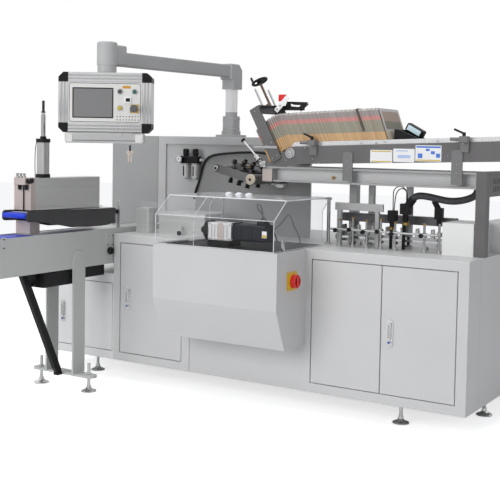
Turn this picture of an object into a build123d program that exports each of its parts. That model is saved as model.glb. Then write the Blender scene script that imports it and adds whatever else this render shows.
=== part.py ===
from build123d import *
import math
import os

os.makedirs("parts", exist_ok=True)

# Driving sizes, in millimetres. X runs along the carton travel, Y runs from the operator side to the rear.
# While the machine is laid out, x = 0 is the right end of the cabinets and y = 0 is their front face.
foot_height = 110
body_height = 700
body_depth = 1000
low_height = 480
right_bay = 852
middle_bay_width = 663
left_bay = 515
low_bay = 475
sheet = 3
edge_round = 4
door_thickness = 18
door_gap = 4
door_margin = 50
hinge_pin = 4
running_gap = 0.08
box_front = 280
box_overlap = 28
rear_wall_y = 550
rear_wall_rise = 543
post_inset_y = 100
post_from_left = 808
arm_length = 1003
arm_lean = 5.7
arm_section = 71
arm_clear = 350
control_width = 465
control_height = 300
control_depth = 120
control_turn = 32.0
magazine_tilt = 2.0
magazine_y = 200
magazine_width = 253
magazine_overhang = 420
plate_thickness = 8
head_lean = 28.5
head_length = 308
carton_height = 190
carton_pitch = 11
beam_rise = 391
beam_height = 78
outfeed_width = 178
outfeed_depth = 193
outfeed_near = 900
outfeed_level = 839
upper_level = 962
leg_y = -285

# Sizes that follow from the driving ones.
body_top = foot_height + body_height
low_top = foot_height + low_height
x_mid_right = -right_bay
x_mid_left = x_mid_right - middle_bay_width
x_left = x_mid_left - left_bay
x_low = x_left - low_bay
rear_top = body_top + rear_wall_rise
shift = Location((-(x_low + magazine_overhang) / 2, (outfeed_near - body_depth) / 2, 0))


def save(name, *shapes):
    solids = [solid.moved(shift) for shape in shapes for solid in shape.solids()]
    whole = solids[0] if len(solids) == 1 else Compound(solids)
    export_step(whole, f"parts/{name}.step")


def block(x0, x1, y0, y1, z0, z1):
    body = Box(abs(x1 - x0), abs(y1 - y0), abs(z1 - z0))
    return Pos((x0 + x1) / 2, (y0 + y1) / 2, (z0 + z1) / 2) * body


def soft_block(x0, x1, y0, y1, z0, z1, r, axis=Axis.Z):
    body = block(x0, x1, y0, y1, z0, z1)
    return fillet(body.edges().filter_by(axis), r)


def rod_x(x0, x1, y, z, r):
    return Pos((x0 + x1) / 2, y, z) * Rot(0, 90, 0) * Cylinder(r, abs(x1 - x0))


def rod_y(x, y0, y1, z, r):
    return Pos(x, (y0 + y1) / 2, z) * Rot(90, 0, 0) * Cylinder(r, abs(y1 - y0))


def rod_z(x, y, z0, z1, r):
    return Pos(x, y, (z0 + z1) / 2) * Cylinder(r, abs(z1 - z0))


def side_profile(points, y0, y1, corner=0, rounded=()):
    face = make_face(Polyline(*points, close=True))
    if corner:
        spots = [v for v in face.vertices() if any(math.hypot(v.X - p[0], v.Y - p[1]) < 0.1 for p in rounded)]
        face = fillet(spots, corner)
    return Pos(0, y0, 0) * extrude(Plane.XZ * face, amount=y0 - y1)


def end_profile(points, x0, x1, corner=0, rounded=()):
    face = make_face(Polyline(*points, close=True))
    if corner:
        spots = [v for v in face.vertices() if any(math.hypot(v.X - p[0], v.Y - p[1]) < 0.1 for p in rounded)]
        face = fillet(spots, corner)
    return Pos(x0, 0, 0) * extrude(Plane.YZ * face, amount=x1 - x0)


def rod_between(a, b, r):
    path = Line(a, b)
    start = Plane(origin=a, z_dir=path % 0)
    return extrude(start * Circle(r), amount=path.length)


def turned(points, x=0, y=0, z=0):
    face = make_face(Polyline(*[(r, h) for r, h in points], close=True))
    return Pos(x, y, z) * revolve(Plane.XZ * face, Axis.Z)


def loop_belt(y0, y1, z0, z1, x0, x1, thickness):
    r = (z1 - z0) / 2
    outer = SlotOverall(y1 - y0, 2 * r)
    inner = SlotOverall(y1 - y0 - 2 * thickness, 2 * r - 2 * thickness)
    ring = Pos((y0 + y1) / 2, (z0 + z1) / 2) * (outer - inner)
    return Pos(x0, 0, 0) * extrude(Plane.YZ * ring, amount=x1 - x0)


# Cabinets: folded sheet shells. Each door opening has a rolled frame behind it that the door closes against,
# and two hinge pins on the hinge side.
pocket = door_thickness + 6


def hinge_axis(x, side):
    return x - side * door_thickness / 2


def cabinet(x0, x1, z0, z1, openings, leaves):
    shell = block(x0, x1, 0, body_depth, z0, z1)
    shell = fillet(shell.edges().filter_by(Axis.X).sort_by(Axis.Y)[:2], edge_round)
    shell -= block(x0 + sheet, x1 - sheet, sheet, body_depth - sheet, z0 + sheet, z1 - sheet)
    for d0, d1, e0, e1 in openings:
        shell += block(max(d0 - 24, x0 + sheet), min(d1 + 24, x1 - sheet), sheet, pocket + 3, e0 - 24, e1 + 24)
        shell -= block(d0 + 8, d1 - 8, -1, pocket + 4, e0 + 8, e1 - 8)
        shell -= block(d0 - door_gap, d1 + door_gap, -1, pocket, e0 - door_gap, e1 + door_gap)
    for hx, e0, e1 in leaves:
        y = door_thickness / 2
        for a, b in ((e1 - 8, e1 + door_gap), (e0 - door_gap, e0 + 8)):
            shell += rod_z(hx, y, a, b, hinge_pin)
    return shell


def door(x0, x1, z0, z1, hinge_side):
    leaf = block(x0, x1, 0, door_thickness, z0, z1)
    leaf = fillet(leaf.edges().filter_by(Axis.Z), 3)
    leaf -= block(x0 + 2, x1 - 2, 2, door_thickness + 1, z0 + 2, z1 - 2)
    rim = block(x0 + 1, x1 - 1, door_thickness - 2, door_thickness, z0, z1)
    rim -= block(x0 + 18, x1 - 18, 0, door_thickness + 1, z0 + 18, z1 - 18)
    leaf += rim
    hx = hinge_axis(x1 if hinge_side > 0 else x0, hinge_side)
    for a, b in ((z1 - 12, z1 - 1), (z0 + 1, z0 + 12)):
        leaf += block(hx - 7, hx + 7, 1, door_thickness - 1, a, b)
    for a, b in ((z1 - 9, z1 + 1), (z0 - 1, z0 + 9)):
        leaf -= rod_z(hx, door_thickness / 2, a, b, hinge_pin + running_gap)
    return leaf


def swing_lock(x, z0):
    plate = block(x - 17.5, x + 17.5, -4, 0, z0, z0 + 125)
    plate = fillet(plate.edges().filter_by(Axis.Y), 12)
    grip = side_profile([(x - 8, z0 + 34), (x + 8, z0 + 34), (x + 10, z0 + 112), (x - 10, z0 + 112)], -13, -4, 5,
                        [(x - 8, z0 + 34), (x + 8, z0 + 34), (x + 10, z0 + 112), (x - 10, z0 + 112)])
    barrel = rod_y(x, -9, -4, z0 + 20, 10) - rod_y(x, -10, -7, z0 + 20, 5)
    return plate + grip + barrel


low_z = foot_height + door_margin
high_z = body_top - door_margin
right_door_x0 = x_mid_right + 64
right_door_x1 = -54
right_seam = (right_door_x0 + right_door_x1) / 2
left_door_x0 = x_left + 48
left_door_x1 = x_mid_left - 53
low_door_x0 = x_left - 415
low_door_x1 = x_left - 10
low_door_top = low_top - 58

right_cabinet = cabinet(x_mid_right, 0, foot_height, body_top, [(right_door_x0, right_door_x1, low_z, high_z)],
                        [(hinge_axis(right_door_x0, -1), low_z, high_z), (hinge_axis(right_door_x1, 1), low_z, high_z)])
seam_y = 157
right_cabinet -= block(-1, 1, seam_y - 1, seam_y + 1, foot_height - 1, body_top + 1)
left_cabinet = cabinet(x_left, x_mid_left, foot_height, body_top, [(left_door_x0, left_door_x1, low_z, high_z)],
                       [(hinge_axis(left_door_x1, 1), low_z, high_z)])
low_cabinet = cabinet(x_low, x_left, foot_height, low_top, [(low_door_x0, low_door_x1, low_z, low_door_top)],
                      [(hinge_axis(low_door_x1, 1), low_z, low_door_top)])
save("right_cabinet", right_cabinet)
save("left_cabinet", left_cabinet)
save("low_cabinet", low_cabinet)
save("right_door_left_leaf", door(right_door_x0, right_seam - door_gap / 2, low_z, high_z, -1))
save("right_door_right_leaf", door(right_seam + door_gap / 2, right_door_x1, low_z, high_z, 1))
save("left_door", door(left_door_x0, left_door_x1, low_z, high_z, 1))
save("low_door", door(low_door_x0, low_door_x1, low_z, low_door_top, 1))
save("right_door_lock", swing_lock(right_seam + 46, 386))
save("left_door_lock", swing_lock(left_door_x0 + 53, 400))
save("low_door_lock", swing_lock(low_door_x0 + 46, 282))

# Middle bay: a closed housing with a well for the cross shafts, open above the drive box.
well_back = 229
well_floor = body_top - 110
middle_bay = block(x_mid_left, x_mid_right, 4, body_depth, foot_height, body_top)
middle_bay -= block(x_mid_left + 8, x_mid_right - 8, -1, well_back, well_floor, body_top + 1)
save("middle_bay", middle_bay)

# Drive box: a folded sheet tray hung on the front of the middle bay, open at the top.
box_x0 = x_mid_left - box_overlap
box_x1 = x_mid_right + box_overlap
box_knee = body_top - 274
box_foot = body_top - 470


def tray_profile(t):
    return [(-box_front + t, body_top), (-box_front + t, box_knee + t * 0.4), (-198 + t * 0.6, box_foot + t),
            (0, box_foot - 5 + t), (0, body_top)]


drive_box = end_profile(tray_profile(0), box_x0, box_x1, 6, [(-box_front, box_knee), (-198, box_foot)])
drive_box -= end_profile(tray_profile(sheet), box_x0 + sheet, box_x1 - sheet)
drive_box += block(box_x0, box_x1, -sheet, 0, box_foot - 5, well_floor)
rim = block(box_x0, box_x1, -box_front, 0, body_top - sheet, body_top)
rim -= block(box_x0 + 16, box_x1 - 16, -box_front + 16, 1, body_top - 10, body_top + 1)
drive_box += rim
save("drive_box", drive_box)


# Levelling feet: turned pads with threaded stems and lock nuts.
def hex_nut(x, y, z0, z1, size):
    return Pos(x, y, z0) * extrude(RegularPolygon(size, 6), amount=z1 - z0)


def foot(x, y, mount, stem_top):
    pad = turned([(0, 0), (40, 0), (40, 5), (36, 8), (20, 14), (13, 22), (11, 34), (0, 34)], x, y)
    stem = rod_z(x, y, 30, stem_top, 8)
    return pad + stem + hex_nut(x, y, mount - 9, mount, 13)


foot_inset = 125
stand_x = x_left - 5 - outfeed_width / 2
stand_plate_z = 76
front_feet = [(x_low + 260, foot_inset), (-361, foot_inset)]
inner_feet = [(x, body_depth * 0.5) for x in (x_mid_left + 60, x_mid_right - 60, -80)]
back_feet = [(x, body_depth - foot_inset) for x in (x_low + 260, x_left + 260, x_mid_left + 60, x_mid_right - 60, -80)]
feet = [foot(x, y, foot_height, foot_height) for x, y in front_feet + inner_feet + back_feet]
for side in (-1, 1):
    fx = stand_x + side * 169
    feet.append(foot(fx, leg_y, stand_plate_z, 150) + hex_nut(fx, leg_y, stand_plate_z + 12, stand_plate_z + 24, 14))
save("levelling_feet", *feet)

# Rear housing: stands on the cabinets at the rear, with a plain left panel and a recessed middle panel.
rear_right = x_mid_left + 170
seam_x = x_left - 121
recess_x0 = seam_x + 56
recess_x1 = rear_right - 50
recess_depth = 12
rear_housing = block(x_low, rear_right, rear_wall_y, body_depth, low_top, rear_top)
rear_housing = fillet(rear_housing.edges().filter_by(Axis.X).sort_by(Axis.Z)[-2:], edge_round)
rear_housing -= block(x_left, rear_right + 1, rear_wall_y - 1, body_depth + 1, low_top - 1, body_top)
rear_housing -= block(recess_x0, recess_x1, rear_wall_y - 1, rear_wall_y + recess_depth, body_top + 60, rear_top - 46)
rear_housing -= block(seam_x - 1.5, seam_x + 1.5, rear_wall_y - 1, rear_wall_y + 2, low_top - 1, rear_top + 1)
save("rear_housing", rear_housing)

# Picker back plate with its big rounded shoulder.
back_y = 500
back_top = body_top + 470
back_plate_pts = [(-1850, body_top), (-1832, 1050), (-1775, back_top - 38), (-1560, back_top - 12), (-1390, back_top),
                  (-1085, back_top), (-1085, body_top)]
back_plate = side_profile(back_plate_pts, back_y, back_y + 12, 80, [(-1775, back_top - 38)])
for x in (-1700, -1300):
    back_plate += block(x, x + 12, back_y + 12, rear_wall_y, body_top, 1180)
save("back_plate", back_plate)

# Control arm: post on the rear housing.
post_x = x_low + post_from_left
post_y = rear_wall_y + post_inset_y
arm_top = rear_top + 416
arm_low = arm_top - arm_section
post_r = 35
socket_top = rear_top + 121
elbow_z = rear_top + 277
arm_post = rod_z(post_x, post_y, rear_top, rear_top + 13, 90)
arm_post = chamfer(arm_post.edges().sort_by(Axis.Z)[-1:], 3)
arm_post += soft_block(post_x - 43, post_x + 43, post_y - 43, post_y + 43, rear_top + 13, rear_top + 35, 10)
arm_post += soft_block(post_x - 38, post_x + 38, post_y - 38, post_y + 38, rear_top + 35, socket_top, 8)
arm_post += rod_z(post_x, post_y, socket_top, elbow_z, post_r)
arm_post += rod_z(post_x, post_y, elbow_z, elbow_z + 30, post_r - 8)
save("arm_post", arm_post)

# Swing arm: cast elbow, box section tube and the round housing that the control box hangs from.
arm_frame = Pos(post_x, post_y, 0) * Rot(0, 0, -arm_lean)
elbow_pts = [(46, elbow_z), (46, arm_top - 26), (16, arm_top + 6), (-58, arm_top + 6), (-58, arm_low - 8),
             (-40, arm_low - 14), (-40, elbow_z)]
elbow = end_profile(elbow_pts, -43, 43, 8, [(46, arm_top - 26), (16, arm_top + 6)])
elbow = fillet(elbow.edges().filter_by(Axis.Z), 6)
elbow -= rod_z(0, 0, elbow_z - 1, elbow_z + 30, post_r - 8 + running_gap)
house_r = 51
house_low = arm_top - 71
house_top = arm_top + 45
tube = block(-27, 27, -arm_length + 60, -50, arm_low, arm_top)
tube = fillet(tube.edges().filter_by(Axis.Y), 6)
neck = soft_block(-36, 36, -arm_length, -arm_length + 102, house_low + 3, house_top - 12, 10, Axis.Y)
house = rod_z(0, -arm_length, house_low, house_top, house_r)
house = fillet(house.edges().sort_by(Axis.Z)[-1:], 9)
house -= rod_z(0, -arm_length, house_low - 1, house_low + 30, 28 + running_gap)
neck -= rod_z(0, -arm_length, house_low - 1, house_low + 30, 28 + running_gap)
swing_arm = elbow + tube + neck + house
save("swing_arm", arm_frame * swing_arm)

# Control box: aluminium frame profile with four corner pieces, a face plate, buttons and a ledge below.
hang_x = post_x - arm_length * math.sin(math.radians(arm_lean))
hang_y = post_y - arm_length * math.cos(math.radians(arm_lean))
control_frame = Pos(hang_x, hang_y, 0) * Rot(0, 0, control_turn)
control_z1 = house_low - 40
control_z0 = control_z1 - control_height
control_z = (control_z0 + control_z1) / 2
face_y = -control_depth / 2
hw = control_width / 2
rail = 50
corner_cut = 24
case = block(-hw, hw, face_y, -face_y, control_z0, control_z1)
case = chamfer(case.edges().filter_by(Axis.Y), corner_cut)
for sx in (-1, 1):
    for z in (control_z0, control_z1):
        case -= block(sx * (hw - 48), sx * (hw + 1), face_y - 1, -face_y + 1, z - 48, z + 48)
for x in (-hw + 17, -hw + 33, hw - 17, hw - 33):
    case -= block(x - 1.5, x + 1.5, face_y - 1, face_y + 3, control_z0 - 1, control_z1 + 1)
for z in (control_z0 + 17, control_z0 + 33, control_z1 - 17, control_z1 - 33):
    case -= block(-hw - 1, hw + 1, face_y - 1, face_y + 3, z - 1.5, z + 1.5)
case -= block(-hw + rail, hw - rail, face_y - 1, face_y + 4, control_z0 + rail, control_z1 - rail)
case += rod_z(0, 0, control_z1, house_low, house_r - 3)
case += rod_z(0, 0, house_low, house_low + 28, 28)
stop_x = 148
stop_z = control_z - 28
case -= rod_y(stop_x, face_y - 1, face_y + 30, stop_z, 12)
save("control_box", control_frame * case)


def corner_piece(sx, sz):
    cz = control_z1 if sz > 0 else control_z0
    piece = block(sx * (hw - 48), sx * hw, face_y - 2, -face_y + 2, cz - sz * 48, cz)
    outer = [e for e in piece.edges().filter_by(Axis.Y)
             if abs(e.center().X - sx * hw) < 0.1 and abs(e.center().Z - cz) < 0.1]
    piece = chamfer(outer, corner_cut)
    return fillet(piece.edges().filter_by(Axis.Y).group_by(Axis.X)[-1 if sx > 0 else 0], 3)


save("box_corners", *[control_frame * corner_piece(sx, sz) for sx in (-1, 1) for sz in (-1, 1)])

face_plate = block(-hw + rail, hw - rail, face_y, face_y + 4, control_z0 + rail, control_z1 - rail)
screen_x0 = -160
screen_x1 = 40
screen_z0 = control_z - 75
screen_z1 = control_z + 72
face_plate -= block(screen_x0, screen_x1, face_y - 1, face_y + 2, screen_z0, screen_z1)
face_plate += block(stop_x - 21, stop_x + 21, face_y - 3, face_y, stop_z - 22, stop_z + 22)
face_plate -= rod_y(stop_x, face_y - 4, face_y + 5, stop_z, 11 + running_gap)
save("control_face", control_frame * face_plate)


def push_button(x, z):
    ring = rod_y(x, face_y - 6, face_y, z, 13)
    cap = rod_y(x, face_y - 11, face_y - 6, z, 10)
    cap = fillet(cap.edges().sort_by(Axis.Y)[:1], 2)
    return ring + cap


meter = block(98, 132, face_y - 8, face_y, control_z, control_z + 30)
meter = fillet(meter.edges().filter_by(Axis.Y), 3)
buttons = [push_button(75, control_z + 56), push_button(stop_x, control_z + 56), push_button(75, control_z - 26), meter]
save("control_buttons", *[control_frame * b for b in buttons])
stop_face = [(0, -38), (14, -38), (19, -35), (20, -30), (20, -26), (16, -21), (11, -19), (11, 22), (0, 22)]
stop_turned = revolve(make_face(Polyline(*[(r, h) for r, h in stop_face], close=True)), Axis.Y)
save("stop_button", control_frame * (Pos(stop_x, face_y, stop_z) * stop_turned))

ledge_w = 182
ledge_y0 = face_y - 24
ledge_z = control_z0 - 52
ledge_pts = [(ledge_y0, ledge_z + 8), (ledge_y0 + 8, ledge_z), (face_y + 62, ledge_z), (face_y + 62, control_z0),
             (face_y + 52, control_z0), (face_y + 52, ledge_z + 8), (ledge_y0 + 14, ledge_z + 8),
             (ledge_y0 + 14, ledge_z + 44), (ledge_y0 + 8, control_z0 - 1), (ledge_y0, control_z0 - 8)]
ledge = end_profile(ledge_pts, -ledge_w, ledge_w)
cheek_pts = [(ledge_y0 - 2, ledge_z + 8), (ledge_y0 + 6, ledge_z), (face_y + 62, ledge_z), (face_y + 62, control_z0),
             (ledge_y0 + 8, control_z0), (ledge_y0 - 2, control_z0 - 10)]
for sx in (-1, 1):
    ledge += end_profile(cheek_pts, sx * ledge_w if sx > 0 else -ledge_w - 8, sx * ledge_w + 8 if sx > 0 else -ledge_w)
save("keyboard_ledge", control_frame * ledge)

# Isolator on the right side of the drive box: plate and turning knob.
iso_y = -box_front / 2
iso_z = body_top - 142
iso_plate = block(box_x1, box_x1 + 5, iso_y - 45, iso_y + 45, iso_z - 44, iso_z + 44)
iso_plate = fillet(iso_plate.edges().filter_by(Axis.X), 6)
iso_plate += rod_x(box_x1 + 5, box_x1 + 10, iso_y, iso_z, 34)
iso_plate -= rod_x(box_x1 - 1, box_x1 + 11, iso_y, iso_z, 8 + running_gap)
save("isolator_plate", iso_plate)
knob = rod_x(box_x1 + 10.3, box_x1 + 34, iso_y, iso_z, 33)
knob = fillet(knob.edges().sort_by(Axis.X)[-1:], 4)
knob -= rod_x(box_x1 + 18, box_x1 + 35, iso_y, iso_z, 24)
knob += soft_block(box_x1 + 18, box_x1 + 36, iso_y - 9, iso_y + 9, iso_z - 28, iso_z + 28, 7, Axis.X)
knob += rod_x(box_x1 + 2, box_x1 + 10.3, iso_y, iso_z, 8)
save("isolator_knob", knob)

# Clear guard over the drive box: one bent sheet with two sides, lifting on a rod carried by two posts.
guard_t = 6
guard_x0 = box_x0 + 3
guard_x1 = box_x1 - 21
guard_front = -box_front + 7
guard_side_back = 207
guard_top = body_top + 240
guard_hinge_y = 306
guard_bend = body_top + 148
guard_slope_y = guard_front + 114
skin = [(guard_front, body_top + 1), (guard_front, guard_bend), (guard_slope_y, guard_top), (290, guard_top),
        (290, guard_top - guard_t), (guard_slope_y + 2.5, guard_top - guard_t), (guard_front + guard_t, guard_bend - 2.5),
        (guard_front + guard_t, body_top + 1)]
bends = [(guard_front, guard_bend), (guard_slope_y, guard_top)]
guard = end_profile(skin, guard_x0, guard_x1, 14, bends)
side = [(guard_front + 4, body_top + 1), (guard_front + 4, guard_bend - 1), (guard_slope_y + 2, guard_top - 4),
        (284, guard_top - 4), (guard_side_back, guard_top - 66), (guard_side_back, body_top + 1)]
for a in (guard_x0, guard_x1 - guard_t):
    guard += end_profile(side, a, a + guard_t)
hinge_z = guard_top - 8
knuckle_r = 9
for a in (guard_x0 + 60, guard_x1 - 100):
    guard += rod_x(a, a + 40, guard_hinge_y, hinge_z, knuckle_r)
    guard += block(a, a + 40, 280, guard_hinge_y, guard_top - guard_t, guard_top)
    guard -= rod_x(a - 1, a + 41, guard_hinge_y, hinge_z, 5 + running_gap)
save("clear_guard", guard)
guard_posts = rod_x(guard_x0 + 4, guard_x1 - 4, guard_hinge_y, hinge_z, 5)
for x in (guard_x0 + 20, guard_x1 - 20):
    guard_posts += rod_z(x, guard_hinge_y, body_top, hinge_z + 8, 9)
    guard_posts += rod_z(x, guard_hinge_y, body_top, body_top + 8, 18)
save("guard_posts", guard_posts)

# Servo drive: reduction gearbox on a bracket in the tray, with the motor on its right.
drive_y = -150
drive_z = body_top + 75
gear_x0 = -1273
gear_x1 = -1135
gearbox = soft_block(gear_x0, gear_x1, drive_y - 42, drive_y + 42, drive_z - 42, drive_z + 42, 6, Axis.X)
gearbox += rod_x(gear_x0 - 25, gear_x0, drive_y, drive_z, 50)
gearbox += rod_x(gear_x0 - 60, gear_x0 - 25, drive_y, drive_z, 16)
for x in range(gear_x0 + 20, gear_x1 - 10, 18):
    gearbox -= block(x, x + 5, drive_y - 43, drive_y + 43, drive_z - 43, drive_z - 36)
    gearbox -= block(x, x + 5, drive_y - 43, drive_y - 37, drive_z - 30, drive_z + 30)
gearbox += block(gear_x0 + 3, gear_x1 - 5, drive_y - 50, drive_y + 50, well_floor, drive_z - 42)
gearbox += block(gear_x0 + 3, gear_x1 - 5, drive_y - 50, -sheet, well_floor - 12, well_floor)
save("gearbox", gearbox)
motor = soft_block(gear_x1, gear_x1 + 14, drive_y - 45, drive_y + 45, drive_z - 45, drive_z + 45, 8, Axis.X)
motor += soft_block(gear_x1 + 14, gear_x1 + 190, drive_y - 41, drive_y + 41, drive_z - 41, drive_z + 41, 12, Axis.X)
motor += soft_block(gear_x1 + 130, gear_x1 + 176, drive_y - 20, drive_y + 20, drive_z + 40, drive_z + 58, 5, Axis.X)
motor += rod_z(gear_x1 + 152, drive_y, drive_z + 58, drive_z + 74, 11)
save("servo_motor", motor)

# Left table: folded steel covers, and the box that stands on the upper outfeed conveyor.
deck_x1 = x_left - 10
deck_x0 = stand_x - outfeed_width / 2
deck_near = -656
deck_far = 24


def deck_z(y):
    return upper_level - (y - deck_near) * 12 / (deck_far - deck_near)


steel_cover = soft_block(-1860, -1550, 180, 420, body_top, body_top + 120, 5)
steel_cover += rod_y(-1700, 168, 180, body_top + 40, 6) + rod_y(-1700, 156, 168, body_top + 40, 11)
discharge = soft_block(-1975, -1888, 120, 200, body_top, body_top + 140, 4)
steel_box = end_profile([(-535, deck_z(-535)), (-35, deck_z(-35)), (-35, 1122), (-535, 1122)], deck_x0, -2105)
steel_box = fillet(steel_box.edges().filter_by(Axis.Z), 4)
steel_box += block(deck_x0, -2090, -540, -30, deck_z(-540) + 1, deck_z(-540) + 4)
save("steel_covers", steel_cover, discharge, steel_box)
clear_rail = block(-2022, -1880, 226, 232, body_top + 60, body_top + 170)
clear_rail += block(-2022, -2002, 226, 232, body_top, body_top + 60)
save("discharge_plate", clear_rail)

# Air preparation unit on the rear housing: two bowls, two knobs and a gauge.
air_back = rear_wall_y + recess_depth
air = soft_block(-1958, -1831, 500, 545, 1196, 1237, 6, Axis.X)
air += block(-1950, -1840, 545, air_back, 1200, 1232)
for x in (-1926, -1858):
    air += turned([(0, 0), (16, 0), (22, 10), (23, 88), (26, 90), (26, 96), (0, 96)], x, 522, 1102)
    air += turned([(0, 0), (15, 0), (15, 8), (18, 12), (18, 40), (14, 46), (0, 46)], x, 522, 1235)
air += rod_y(-1944, 478, 500, 1220, 20)
air += rod_x(-1980, -1958, 522, 1216, 9) + rod_x(-1831, -1805, 522, 1216, 9)
save("air_unit", air)

# Vacuum picker: shaft from the back plate, a two-plate arm, and a bar with bellows cups.
hub_x = -1265
hub_z = 1129
pivot_x = -1487
pivot_z = 1183
hub_r = 16
picker_shaft = rod_y(hub_x, 198, back_y, hub_z, hub_r) + rod_y(hub_x, 396, back_y, hub_z, 34)
picker_shaft += rod_y(hub_x, back_y - 12, back_y, hub_z, 52)
save("picker_shaft", picker_shaft)
arm_angle = math.degrees(math.atan2(pivot_z - hub_z, pivot_x - hub_x))
span = math.hypot(pivot_x - hub_x, pivot_z - hub_z)


def link_plate(y0, y1):
    slot = SlotCenterToCenter(span, 44)
    plate = extrude(Plane.XZ * slot, amount=y0 - y1)
    return Pos((hub_x + pivot_x) / 2, y0, (hub_z + pivot_z) / 2) * Rot(0, -arm_angle, 0) * plate


picker = link_plate(194, 206) + link_plate(372, 384)
picker += rod_y(hub_x, 186, 392, hub_z, 27)
picker += rod_y(pivot_x, 188, 388, pivot_z, 12)
picker -= rod_y(hub_x, 198, 393, hub_z, hub_r + running_gap)
station_parts = (0.34, 0.58, 0.82)
along_x = (hub_x - pivot_x) / span
along_z = (hub_z - pivot_z) / span


def on_arm(part, up):
    return pivot_x + along_x * span * part - along_z * up, pivot_z + along_z * span * part + along_x * up


def arm_rod(part, low, high, y, r):
    a = on_arm(part, low)
    b = on_arm(part, high)
    return rod_between((a[0], y, a[1]), (b[0], y, b[1]), r)


cup_rows = (236, 342)
for part in station_parts:
    mid = on_arm(part, 0)
    picker += rod_y(mid[0], 206, 372, mid[1], 8)
    for y in cup_rows:
        picker += arm_rod(part, -30, 22, y, 9) + arm_rod(part, -14, 12, y, 14) + arm_rod(part, 22, 44, y, 6)
save("picker_arm", picker)
cup_angle = math.degrees(math.atan2(-along_z, along_x))


def bellows_cup(part, y):
    rings = [(0, 0), (7, 0), (7, -6), (12, -9), (12, -12), (8, -15), (13, -18), (13, -21), (9, -24), (15, -29), (11, -29),
             (6, -23), (0, -23)]
    cup = revolve(Plane.XZ * make_face(Polyline(*rings, close=True)), Axis.Z)
    low = on_arm(part, -30)
    return Pos(low[0], y, low[1]) * Rot(0, cup_angle, 0) * cup


save("suction_cups", *[bellows_cup(part, y) for part in station_parts for y in cup_rows])

# Magazine: two tilted side plates with a belt between them, carried by the frame.
rise = math.tan(math.radians(magazine_tilt))
mag_x0 = -1163
mag_x1 = magazine_overhang
mag_low = body_top + 401


def mag_z(x, base):
    return base + (x - mag_x0) * rise


far_y = magazine_y + magazine_width
plate_pts = [(mag_x0, mag_low), (mag_x1, mag_z(mag_x1, mag_low)), (mag_x1, mag_z(mag_x1, mag_low + 95)),
             (-1030, mag_z(-1030, mag_low + 90)), (-1110, mag_low + 46)]
plates = []
strips = []
for y in (magazine_y, far_y - plate_thickness):
    plate = side_profile(plate_pts, y, y + plate_thickness)
    strip_pts = [(-1040, mag_z(-1040, mag_low + 86)), (mag_x1 - 60, mag_z(mag_x1 - 60, mag_low + 86)),
                 (mag_x1 - 60, mag_z(mag_x1 - 60, mag_low + 116)), (-1020, mag_z(-1020, mag_low + 112))]
    sy = y + plate_thickness if y == magazine_y else y - 3
    plates.append(plate)
    strips.append(side_profile(strip_pts, sy, sy + 3))
save("magazine_plates", *plates)
save("magazine_strips", *strips)
bed_y0 = magazine_y + plate_thickness + 4
bed_y1 = far_y - plate_thickness - 4
belt_x1 = mag_x1 - 12
belt_pts = [(-1030, mag_z(-1030, mag_low + 25)), (belt_x1, mag_z(belt_x1, mag_low + 25)),
            (belt_x1, mag_z(belt_x1, mag_low + 88)), (-1030, mag_z(-1030, mag_low + 88))]
belt = side_profile(belt_pts, bed_y0, bed_y1, 30, belt_pts)
for x in (-900, -300, 300):
    z = mag_z(x, mag_low + 56)
    belt += rod_y(x, magazine_y + plate_thickness, far_y - plate_thickness, z, 12)
save("magazine_belt", belt)

lean = math.radians(head_lean)
lean_x = -math.sin(lean)
lean_z = math.cos(lean)


def on_head(along, across, x=-1139, z=1219):
    return (x + lean_x * along + lean_z * across, z + lean_z * along - lean_x * across)


head_pts = [on_head(0, 0), on_head(head_length, 0), on_head(head_length, 58), on_head(0, 58)]
bridge_pts = [on_head(head_length - 16, 0), on_head(head_length, 0), on_head(head_length, 64),
              on_head(head_length - 16, 64)]
bridge = side_profile(bridge_pts, magazine_y, far_y)
head = side_profile(head_pts, magazine_y - 8, magazine_y, 4, head_pts)
head += side_profile(head_pts, far_y, far_y + 8, 4, head_pts) + bridge
save("head_plates", head)

# Carton stack: flat blanks standing on edge, leaning on each other, sliding down to the mouth at the left.
blank_count = 60
blank_pts_low = []
blank_pts_high = []
for i in range(blank_count + 1):
    t = i / blank_count
    x = -1168 + t * 671
    drop = max(0.0, 1 - t / 0.2) ** 1.6 * 80
    z = mag_z(x, mag_low + 88) - drop
    a = math.radians(head_lean - 8.5 * t)
    blank_pts_low.append((x, z))
    step = 3.5 if i % 2 else 0
    blank_pts_high.append((x - math.sin(a) * (carton_height - step), z + math.cos(a) * (carton_height - step)))
stack = side_profile(blank_pts_low + blank_pts_high[::-1], magazine_y + plate_thickness + 4, far_y - plate_thickness - 4)
save("carton_stack", stack)

# Magazine fittings: press frame over the mouth, the pusher behind the stack and two clamp levers.
press_z = 1507
press = soft_block(-1232, -1096, magazine_y, far_y, press_z - 8, press_z + 8, 8)
press -= soft_block(-1188, -1118, magazine_y + 30, far_y - 30, press_z - 9, press_z + 9, 6)
press += block(-1180, -1148, magazine_y, far_y, press_z - 8, press_z + 8)
for y, reach in ((magazine_y + 40, -967), (far_y - 52, -1050)):
    arm_pts = [(-1096, press_z - 8), (reach - 48, press_z - 14), (reach, press_z + 26), (reach - 120, press_z + 30),
               (-1096, press_z + 8)]
    hole_pts = [(reach - 98, press_z), (reach - 56, press_z - 4), (reach - 30, press_z + 18), (reach - 104, press_z + 20)]
    press += side_profile(arm_pts, y, y + 12) - side_profile(hole_pts, y - 1, y + 13)
press += rod_between((-980, magazine_y + 46, press_z + 18), (-1063, far_y - 46, press_z + 18), 6)
press -= bridge
pusher_z = mag_z(-440, mag_low + 88)
pusher_pts = [(-492, mag_z(-492, mag_low + 88)), (-340, mag_z(-340, mag_low + 88)), (-340, pusher_z + 20), (-470, pusher_z + 74), (-492, pusher_z + 74)]
pusher = side_profile(pusher_pts, magazine_y + 150, magazine_y + 162)
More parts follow.
